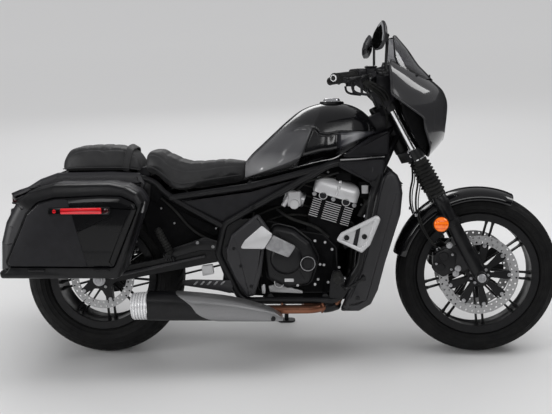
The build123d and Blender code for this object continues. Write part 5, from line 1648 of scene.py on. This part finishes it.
on_chassis("throttle_bodies", "silver_paint",
           *(rod((742, side * 60, 640), (806, side * 60, 618), 27, 36, 2) for side in SIDES),
           *(rod((730, side * 60, 644), (744, side * 60, 639), 32, 36, 2) for side in SIDES),
           block((52, 40, 58), 8, 3, (768, -112, 632), UP, (0.94, 0, -0.34)),
           rod((768, -96, 612), (768, -136, 612), 19, 32, 2),
           rod((752, -118, 648), (724, -124, 604), 9))
on_chassis("engine_boxes", "deep_black", block((46, 70, 66), 8, 3, (1042, -64, 662)),
           block((170, 150, 40), 14, 4, (690, 0, 618), UP, (0.97, 0, 0.2)),
           block((60, 34, 34), 6, 3, (960, -96, 716)))
on_chassis("relay_label", "silver_paint", block((26, 6, 32), 3, 1, (1042, -101, 664)))


def bands(radius, thick, half, steps, spots):
    """Flat clips round hoses or pipes, at (point, direction) spots."""
    return [turned([(radius, -half), (radius + thick, -half), (radius + thick, half),
                    (radius, half)], steps, *spot, closed=True) for spot in spots]


on_chassis("throttle_clamps", "steel",
           *bands(27.5, 2, 6, 36, [((x, side * 60, z), (0.945, 0, -0.325)) for side in SIDES
                                   for x, z in ((752, 636), (798, 621))]))
for i, (radius, points) in enumerate((
        (5, [(930, -86, 700), (900, -118, 724), (850, -124, 722), (800, -122, 690),
             (776, -124, 660)]),
        (9, [(1042, -80, 628), (1050, -104, 590), (1046, -112, 520), (1010, -118, 470),
             (960, -116, 440)]),
        (6, [(700, -104, 590), (740, -128, 560), (800, -134, 540), (860, -128, 520),
             (900, -118, 480)]),
        (11, [(1110, -60, 660), (1080, -96, 640), (1040, -110, 600), (1020, -112, 560)]),
        (11, [(1078, -40, 300), (1040, -96, 290), (980, -112, 300), (930, -112, 330)]),
        (4, [(620, -120, 600), (660, -136, 640), (740, -140, 676), (840, -140, 706),
             (940, -132, 734)]),
        (4, [(610, -118, 580), (600, -140, 520), (610, -150, 440), (640, -150, 330)]),
        (11, [(1110, 60, 660), (1080, 100, 640), (1050, 116, 560), (1010, 118, 470),
              (950, 116, 430)]),
        (6, [(700, 104, 590), (760, 132, 570), (850, 132, 540), (900, 118, 480)]),
        (4, [(620, 120, 600), (660, 136, 640), (740, 140, 676), (840, 140, 706),
             (940, 132, 734)]))):
    chassis_pipe(f"engine_hose_{i + 1}", "rubber", radius, points)
on_chassis("hose_clips", "steel",
           *bands(11, 2, 4, 28, (((1046, -110, 560), (0.1, 0.1, 1)),
                                 ((1086, -92, 646), (0.7, 0.6, 0.3)),
                                 ((1010, -108, 296), (1, 0.2, 0)),
                                 ((960, -114, 314), (1, 0, -0.3)))))
on_chassis("exhaust_collars", "silver_paint",
           *(turned([(18, -9), (27, -9), (30, -5), (30, 5), (27, 9), (18, 9)], 32,
                    (962, side * 46, 540), (0.92, 0, -0.39), closed=True) for side in SIDES))
on_chassis("exhaust_collector", "satin_black",
           turned([(18, -44), (25, -34), (27, 0), (25, 34), (18, 44)], 36, (905, -122, 212),
                  (-0.7, -0.7, 0)))
on_chassis("shield_bands", "bronze",
           *bands(22, 3, 3, 28, [((x, -150, 212), (1, 0.12, 0)) for x in (716, 872)]))

RADIATOR_SLOPE = 0.285
on_chassis("radiator_fins", "deep_black",
           *(block((12, 190, 1.6), 1, 0.4, (1098 + (z - 400) * RADIATOR_SLOPE + 5, 0, z))
             for z in range(420, 692, 8)))
on_chassis("radiator_tanks", "satin_black",
           *(rod((1094 + RADIATOR_SLOPE * 16, side * 98, 412),
                 (1094 + RADIATOR_SLOPE * 284, side * 98, 690), 11, 24, 2) for side in SIDES))
on_chassis("radiator_grille", "black_plastic",
           *(rod((1116, y, 414), (1182, y, 655), 1.6, 8, 0.3) for y in range(-88, 104, 16)))

# ---------------------------------------------------------------- dark masses behind the engine

on_chassis("inner_engine_shapes", "deep_black",
           *(plate(outline, inner, outer, corner) for inner, outer, corner, outline in (
               (-60, 60, 24, [(590, 536), (600, 660), (716, 700), (850, 722), (846, 640),
                              (838, 520), (760, 500), (640, 520)]),
               (-44, 44, 24, [(830, 500), (850, 740), (1040, 760), (1086, 690), (1060, 560),
                              (1010, 420), (940, 420)]),
               (-50, 50, 20, [(470, 250), (500, 470), (640, 560), (960, 300), (1040, 215),
                              (600, 236)]),
               (-84, -58, 12, [(940, 240), (930, 420), (1040, 600), (1090, 640), (1066, 480),
                               (1030, 300), (990, 226)]),
               (-110, 110, 8, [(640, 236), (640, 268), (980, 268), (960, 236)]))), sharp=44)
for i, z in enumerate((560, 600, 640, 680)):
    chassis_pipe(f"inner_loom_{i + 1}", "rubber", 5 - i * 0.6,
                 [(620, -66, z - 40), (700, -72, z), (800, -70, z + 6), (846, -66, z - 12)])
on_chassis("inner_boxes", "deep_black", block((70, 8, 44), 8, 2, (680, -63, 640)),
           block((50, 8, 60), 8, 2, (970, -47, 650)))
chassis_screws("inner_screws", "steel", 4.5,
               [((x, -62, z), RIGHT) for x, z in ((640, 600), (700, 680), (790, 690),
                                                  (1030, 600), (900, 730))])

# ---------------------------------------------------------------- tail

TAIL_OUTLINE = [(-340, 655), (-262, 692), (-220, 718), (-154, 741), (60, 744), (168, 738),
                (196, 700), (170, 664), (-262, 648), (-326, 632)]
INNER_OUTLINE = [(150, 706), (262, 672), (330, 636), (486, 556), (524, 500), (500, 440),
                 (400, 424), (250, 410), (190, 500), (160, 620)]
on_chassis("tail_side_panels", "satin_grey",
           *(moulded(TAIL_OUTLINE, 14, 5, [(112, 0), (128, 0), (136, 4), (139, 10), (140, 20)],
                     side) for side in SIDES), sharp=50)
inners = []
for side in SIDES:
    inners += [
        moulded(INNER_OUTLINE, 12, 5, [(100, 0), (116, 0), (121, 3), (122, 8)], side),
        plate([(300, 600), (470, 520), (480, 500), (456, 486), (310, 560)], 120, 130, 8, side, 2),
        plate([(214, 700), (206, 640), (236, 620), (262, 660)], 118, 134, 6, side, 2)]
on_chassis("shock_side_panels", "deep_black", *inners, sharp=50)
for side in SIDES:
    chassis_pipe(f"{WORD[side]}_panel_hose", "rubber", 5,
                 [(x, side * y, z) for x, y, z in ((250, 130, 640), (300, 134, 600),
                                                   (360, 136, 520), (440, 136, 470),
                                                   (500, 132, 460))])
    chassis_pipe(f"{WORD[side]}_tail_seam", "gloss_black", 1.4,
                 [(x, side * 141, z) for x, z in ((-262, 682), (-120, 700), (40, 706),
                                                  (168, 700))])
chassis_screws("shock_panel_screws", "steel", 4,
               outwards(130, ((300, 541), (250, 600), (462, 520), (150, 470))))
chassis_screws("subframe_bolts", "satin_black", 6,
               outwards(142, ((170, 690), (-60, 690), (-230, 672))))
on_chassis("tail_lamp_lens", "smoked_lens",
           plate([(-268, 668), (-322, 669), (-357, 656), (-357, 616), (-320, 611)], -64, 64, 8),
           replaces="tail_lamp", sharp=50)
on_chassis("tail_lamp_rim", "black_plastic",
           plate([(-266, 670), (-324, 671), (-359, 657), (-359, 650), (-322, 663),
                  (-266, 663)], -66, 66, 3),
           plate([(-359, 622), (-359, 614), (-320, 609), (-318, 616)], -66, 66, 3), sharp=50)

# ---------------------------------------------------------------- swingarm and shocks

COIL_TURNS, COIL_RADIUS = 8, 19
COIL_STEPS = COIL_TURNS * 14
for side in SIDES:
    low, high = Vector((60, side * 163, 342)), Vector((178, side * 163, 652))
    run, eye_half = high - low, Vector((0, 13, 0))
    upward = run.normalized()
    first, last = low + run * 0.20, low + run * 0.80
    spring_frame = placed(first, upward, (upward.z, 0, -upward.x))
    coil = []
    for i in range(COIL_STEPS + 1):
        turn = 2 * pi * COIL_TURNS * i / COIL_STEPS
        coil.append(spring_frame @ (Vector((COIL_RADIUS * cos(turn), COIL_RADIUS * sin(turn),
                                            (last - first).length * i / COIL_STEPS)) * MM) / MM)
    chassis_pipe(f"{WORD[side]}_shock_spring", "black_plastic", 3.6, coil)
    on_chassis(f"{WORD[side]}_shock_body", "satin_black",
               *(rod(low + run * start, low + run * stop, *size) for start, stop, *size in (
                   (0, 0.16, 11, 28), (0.1, 0.5, 12), (0.5, 0.86, 8), (0.16, 0.2, 22, 36, 2),
                   (0.80, 0.86, 22, 36, 2), (0.84, 1, 13, 28, 2))),
               *(rod(eye - eye_half, eye + eye_half, 18, 36, 2) for eye in (low, high)),
               replaces="rear_shocks" if side < 0 else None, sharp=40)
chassis_screws("shock_bolts", "steel", 9, outwards(176, ((60, 342), (178, 652))), hex_bolt, 6)
on_chassis("rear_axle_nuts", "steel",
           *(turned([(0, 12), (8, 12), (9, 10), (9, 8), (15, 8), (16, 6), (16, 0), (24, 0),
                     (24, -4), (0, -4)], 36, REAR_AXLE + LEFT * side * 148, (0, side, 0))
             for side in SIDES))
on_chassis("swingarm_webs", "satin_grey",
           *(plate([(40, 338), (200, 372), (420, 418), (420, 408), (204, 358), (44, 326)], 140,
                   151, 3, side, 2) for side in SIDES), sharp=50)
on_chassis("belt_guard", "black_plastic",
           plate([(470, 470), (560, 500), (600, 470), (520, 420), (300, 372), (200, 352),
                  (190, 366), (300, 396)], 100, 128, 10, 1), sharp=50)


def ribbed(start, rib, end, count, pitch):
    """Profile with a rib repeated along it."""
    return start + [(radius, at + k * pitch) for k in range(count) for radius, at in rib] + end


peg = ribbed([(0, 0), (11, 0), (13, 3)], [(15, 6), (15, 12), (12.5, 13), (12.5, 15)],
             [(14, 106), (10, 112), (0, 113)], 9, 11)
on_chassis("passenger_peg_rubbers", "rubber",
           *(turned(peg, 32, Vector((290, side * 173, 428)), Vector((-52, side * 5, 100)))
             for side in SIDES), sharp=40)
brackets = []
for side in SIDES:
    brackets += [plate([(478, 472), (420, 492), (395, 480), (262, 436), (254, 420), (262, 400),
                        (400, 438), (476, 438)], 150, 162, 10, side, 3),
                 turned([(0, 16), (12, 16), (16, 12), (16, 0), (0, 0)], 32,
                        (278, side * 156, 420), (0, side, 0))]
    brackets += [plate([(x, 396), (x - 4, 414), (x + 1, 416), (x + 6, 398)], 150, 172, 2, side, 1)
                 for x in range(270, 306, 9)]
on_chassis("passenger_peg_brackets", "satin_black", *brackets, replaces="passenger_pegs",
           sharp=40)
on_chassis("peg_bracket_bolts", "nose_silver",
           *(turned([(0, 4), (4, 4), (6.5, 2.5), (7, 0)], 32, *spot)
             for spot in outwards(160, ((392, 468), (452, 452)))))
peg = ribbed([(0, 0), (15, 0)], [(17, 4), (17, 11), (14.5, 12), (14.5, 15)],
             [(16, 100), (12, 104), (0, 104)], 8, 12)
on_chassis("rider_peg_rubbers", "rubber",
           *(turned(peg, 32, *spot) for spot in outwards(178, ((932, 340),))), sharp=40)
chassis_screws("frame_bolts", "satin_black", 7,
               outwards(172, ((508, 446), (606, 604), (596, 268), (1010, 250), (928, 300))),
               hex_bolt, 6)

holder = [plate([(-330, 560), (-300, 600), (-345, 606), (-360, 590), (-366, 470), (-358, 470)],
                -34, 34, 4)]
lenses = []
for side in SIDES:
    at, back = (-306, side * 146, 572), (-1, 0, 0)
    holder += [rod((-330, side * 30, 574), (-322, side * 130, 572), 6.5),
               turned([(9, -2), (15, 2), (18, 10), (19, 24), (17, 26), (15, 24), (0, 22)], 40,
                      at, back)]
    lenses.append(turned([(0, 36), (8, 35), (14, 31), (16.5, 25), (16.5, 22), (0, 22)], 40,
                         at, back))
on_chassis("plate_bracket", "black_plastic", *holder, replaces="plate_holder", sharp=45)
on_chassis("rear_signal_lenses", "orange_lens", *lenses, sharp=50)
PLATE_BACK = (-1, 0, 0.06)
on_chassis("blank_plate", "silver_paint",
           moved(joined(block((150, 150, 3), 8), block((138, 138, 1.4), 6, 0.6, (0, 0, 2))),
                 placed((-366, 0, 520), PLATE_BACK, LEFT)))
chassis_screws("plate_screws", "steel", 5, [((-368, y, 525), PLATE_BACK) for y in (-60, 60)])

for side in SIDES:
    piece = chassis_pipe(f"{WORD[side]}_seat_rail", "satin_black", 13,
                         [(x, side * y, z) for x, y, z in (
                             (497, 155, 528), (380, 147, 592), (268, 138, 655), (226, 126, 704),
                             (160, 122, 722), (0, 112, 722), (-150, 104, 712),
                             (-236, 92, 690))])
    if side < 0:
        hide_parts("rear_subframe")
struts = []
for side in SIDES:
    struts.append(plate([(60, 716), (60, 655), (-50, 600), (-170, 640), (-185, 700)], 140, 146,
                        10, side))
    struts += [rod((x, side * 120, z), (x, side * 192, z), 9)
               for x, z in ((25, 672), (-140, 655))]
    struts += [plate([(215, 712), (206, 640), (172, 632), (150, 716)], 122, 130, 8, side),
               rod((178, side * 126, 652), (178, side * 180, 652), 8)]
on_chassis("subframe_struts", "satin_black", *struts, rod((-230, -94, 690), (-230, 94, 690), 11),
           rod((264, -137, 660), (264, 137, 660), 11), sharp=50)

# ---------------------------------------------------------------- bars and controls

BAR_END = Vector((921, -420, 1089))
BAR_INWARD = (Vector((1066, -205, 1108)) - BAR_END).normalized()
GRIP_LENGTH = 125
GRIP = ribbed([(0, -12), (9, -12), (10, -9), (15, -8), (17.5, -5), (17.5, -1), (16, 0)],
              [(16.5, 3), (16.5, 7.5), (15.3, 8.3), (15.3, 9.8)],
              [(17, 117), (20, 119), (20, 124), (13, 125)], 15, 7.6)
BAR_WEIGHT = [(0, -11.5), (3.5, -11.5), (4, -9), (8, -8.5), (8.5, -12), (11.5, -12),
              (12.5, -11), (12.5, -6), (0, -6)]
MIRROR_LEAF = [(-14, 53), (20, 38), (52, 12), (62, -14), (44, -38), (8, -52), (-32, -50),
               (-58, -26), (-56, 8), (-38, 36)]
CABLES = ((0, 0, 5.5), (-12, 16, 4.5), (14, -14, 4.0), (-24, 6, 3.6))   # rise, out, radius


def along_bar(distance, side):
    """Point on a handlebar end, by its distance in from the tip."""
    spot = BAR_END + BAR_INWARD * distance
    return Vector((spot.x, spot.y * -side, spot.z))


def bar_frame(distance, side):
    """Frame on the bar: z inwards along it and x towards the front."""
    inward = Vector((BAR_INWARD.x, BAR_INWARD.y * -side, BAR_INWARD.z))
    return placed(along_bar(distance, side), inward, UP.cross(inward) * side)


def bar_end(side):
    """Grip, switches, reservoir, lever, guard and cables of one side."""
    word, first = WORD[side], side < 0
    across, perch = Vector((0, side, 0)), along_bar(GRIP_LENGTH + 68, side)
    switch = along_bar(GRIP_LENGTH + 30, side)
    on_steering(f"{word}_grip", "rubber", moved(lathe(GRIP, 40), bar_frame(0, side)),
                replaces="grips" if first else None, sharp=32)
    on_steering(f"{word}_bar_weight", "silver_paint",
                moved(lathe(BAR_WEIGHT, 36), bar_frame(0, side)))
    on_steering(
        f"{word}_switchgear", "black_plastic",
        moved(block((50, 46, 48), 12, 4), bar_frame(GRIP_LENGTH + 26, side)),
        moved(block((36, 32, 28), 8, 3), bar_frame(GRIP_LENGTH + 66, side)),
        moved(lathe([(13, -14), (21, -14), (21, 14), (13, 14)], 36, closed=True),
              bar_frame(GRIP_LENGTH + 68, side)),
        rod(perch + FORWARD * 10, perch + FORWARD * 40 + across * 26, 12, 28, 3),
        rod(perch + FORWARD * 34 - across * 14, perch + FORWARD * 34 + across * 50, 11, 28, 3),
        block((44, 54, 30), 12, 4, perch + FORWARD * 26 + UP * 9 + across * 4),
        block((34, 26, 22), 9, 3, switch - UP * 25),
        replaces="hand_controls" if first else None, sharp=40)
    on_steering(f"{word}_reservoir_cap", "satin_black",
                block((46, 56, 5), 12, 2, perch + FORWARD * 26 + UP * 26.5 + across * 4),
                sharp=40)
    steering_screws(f"{word}_reservoir_screws", "steel", 3.4,
                    [(perch + FORWARD * (26 + x) + UP * 28 + across * (4 + y), UP)
                     for x in (-15, 15) for y in (-20, 20)])
    tip = along_bar(-4, side) + Vector((38, side * 14, -6))
    blade = [perch + FORWARD * 34 + across * 30, along_bar(GRIP_LENGTH, side) + FORWARD * 50,
             along_bar(70, side) + Vector((50, side * 10, -4)), tip]
    on_steering(f"{word}_lever", "satin_black",
                *(rod(start, stop, radius, 24, 2)
                  for start, stop, radius in zip(blade, blade[1:], (7.5, 6, 5.5))),
                turned([(0, -9), (6, -8), (9, -3), (9, 3), (6, 8), (0, 9)], 28, tip, FORWARD),
                sharp=50)
    for name, line in (("lever_guard", ((983, 1066), (984, 1052), (990, 1041), (1003, 1034),
                                        (1025, 1031), (1050, 1028))),
                       ("guard_stay", ((1016, 1072), (1018, 1033)))):
        steering_pipe(f"{word}_{name}", "black_plastic", 5, [(x, side * 350, z) for x, z in line])
    on_steering(f"{word}_buttons", "rubber",
                *(turned([(0, 5), (5, 5), (6, 3), (6, 0)], 24,
                         along_bar(GRIP_LENGTH + 14 + k * 15, side) + Vector((-24, 0, 6)),
                         (-1, 0, 0.1)) for k in range(3)),
                block((10, 22, 12), 3, 1, switch + Vector((-20, 0, -30))))
    start = along_bar(GRIP_LENGTH + 40, side)
    for k, (rise, out, radius) in enumerate(CABLES):
        steering_pipe(f"{word}_cable_{k + 1}", "rubber", radius,
                      [start + Vector((10, 0, -20 + rise * 0.3)),
                       start + Vector((76, -side * (70 + out), -50 + rise)),
                       (1126 + rise * 0.6, side * (150 - out), 1010 + rise),
                       (1132, side * (86 - out), 956 + rise), (1130, side * 40, 912 + rise)])


def mirror(side):
    """Mirror: a pointed leaf on an upright stem."""
    word = WORD[side]
    centre = Vector((1076, side * 392, 1235))
    across_glass = Vector((-0.29, side * -0.957, 0)).normalized()
    up_glass = Vector((0.17, 0, 0.985)).normalized()
    facing = across_glass.cross(up_glass).normalized()
    if facing.x > 0:
        facing = -facing
    for name, slot, node, sharp, levels in (
            ("shell", "satin_grey", "mirrors" if side < 0 else None, 70,
             [(-3, 3), (-3, 0.8), (-1, 0), (4, 0.6), (8, 3), (12, 8), (15, 14), (17, 21),
              (18.4, 29), (19, 36)]),
            ("glass", "mirror_glass", None, 38,
             [(-2, 4.5), (-3.6, 4.5), (-4.2, 6), (-4.4, 14)])):
        on_steering(f"{word}_mirror_{name}", slot,
                    skin([[centre + across_glass * p.x + up_glass * p.y - facing * depth
                           for p in inset(rounded(MIRROR_LEAF, 12, 5), amount)]
                          for depth, amount in levels]), replaces=node, sharp=sharp)
    foot, elbow = Vector((1104, side * 322, 1110)), Vector((1107, side * 366, 1236))
    perch = along_bar(GRIP_LENGTH + 68, side)
    on_steering(f"{word}_mirror_stem", "satin_black", rod(foot, elbow, 5.5),
                rod(elbow, centre - facing * 12, 5),
                rod(foot - UP * 14, foot + UP * 8, 11, 28, 2),
                rod(foot - UP * 6, perch + FORWARD * 26 + UP * 14, 11, 28, 2),
                turned([(0, -7), (5, -6), (7.5, 0), (5, 6), (0, 7)], 24, elbow), sharp=50)


def front_hose(side):
    """Brake hose with its sensor wire and fittings, and the screws of one riser."""
    word = WORD[side]
    hose = [(1232, side * 74, 800), (1252, side * 92, 705), (1236, side * 108, 632),
            (1240, side * 112, 564), (1272, side * 106, 492), (1312, side * 88, 440),
            (1330, side * 84, 425)]
    steering_pipe(f"{word}_brake_hose", "rubber", 4, hose)
    steering_pipe(f"{word}_sensor_wire", "rubber", 2.2,
                  [(x + 9, y * 1.04, z - 5) for x, y, z in hose])
    clip = Vector(hose[3])
    on_steering(f"{word}_hose_fittings", "steel", *bands(4, 5, 6, 24, [(hose[-1], LEFT)]),
                rod(clip - UP * 6, clip + UP * 6, 7, 20),
                replaces="brake_hoses" if side < 0 else None)
    steering_screws(f"{word}_riser_screws", "steel", 5,
                    [((1074, side * (52 + gap), 1071), UP) for gap in (-11, 11)])


for side in SIDES:
    bar_end(side)
    mirror(side)
    front_hose(side)

GAUGE_FRAME = placed((1128, 0, 1092), Vector((-0.75, 0, 0.66)).normalized(), LEFT)
on_steering("gauge_bezel", "satin_black",
            moved(lathe([(52, -20), (56, -14), (56, 2), (53, 5), (49, 5), (48, 1)]), GAUGE_FRAME))
on_steering("gauge_dial", "lid_black", moved(lathe([(0, 0.6), (48, 0.6)]), GAUGE_FRAME))
ticks = []
for i in range(25):
    length = 9 if i % 4 == 0 else 5
    ticks.append(shifted(block((length, 1.4, 0.6), 0.3, 0.1),
                         Matrix.Rotation(radians(-130 + i * 260 / 24) + pi / 2, 4, "Z")
                         @ Matrix.Translation((42 - length / 2, 0, 1.0))))
needle = shifted(block((34, 2, 1.2), 0.5, 0.2),
                 Matrix.Rotation(2.4, 4, "Z") @ Matrix.Translation((12, 0, 2)))
on_steering("gauge_ticks", "silver_paint", moved(joined(*ticks, needle), GAUGE_FRAME))
on_steering("stem_nut_and_lock", "satin_black",
            turned([(0, 12), (9, 12), (10, 10), (17, 10), (19, 7), (19, -4), (0, -4)], 36,
                   on_stem(763), UP_FORK),
            turned([(0, 26), (13, 26), (16, 22), (16, 0), (0, 0)], 36,
                   on_stem(737) + Vector((-30, 0, -4)), UP_FORK))
on_steering("yoke_covers", "black_plastic",
            block((84, 110, 74), 16, 5, on_stem(696) + Vector((-34, 0, 0)), UP_FORK),
            block((80, 70, 90), 16, 5, (1120, 0, 1020), UP_FORK), sharp=50)
steering_screws("yoke_pinch_bolts", "steel", 7,
                [(on_fork(height, side) + Vector((-26, side * 12, 0)), (0, side, 0))
                 for side in SIDES for height in (534, 552, 746)])
on_steering("fork_caps", "steel",
            *(turned([(0, 6), (8, 6), (9, 4), (18, 4), (20, 1), (20, -4), (0, -4)], 36,
                     on_fork(772, side), UP_FORK) for side in SIDES))
for side in SIDES:
    on_steering(f"{WORD[side]}_cockpit_wing", "black_plastic",
                plate([(1068, 1126), (1141, 1143), (1149, 1008), (1119, 978), (1093, 994),
                       (1063, 1024)], 146, 151, 12, side))

# ---------------------------------------------------------------- sizes and end

low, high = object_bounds()
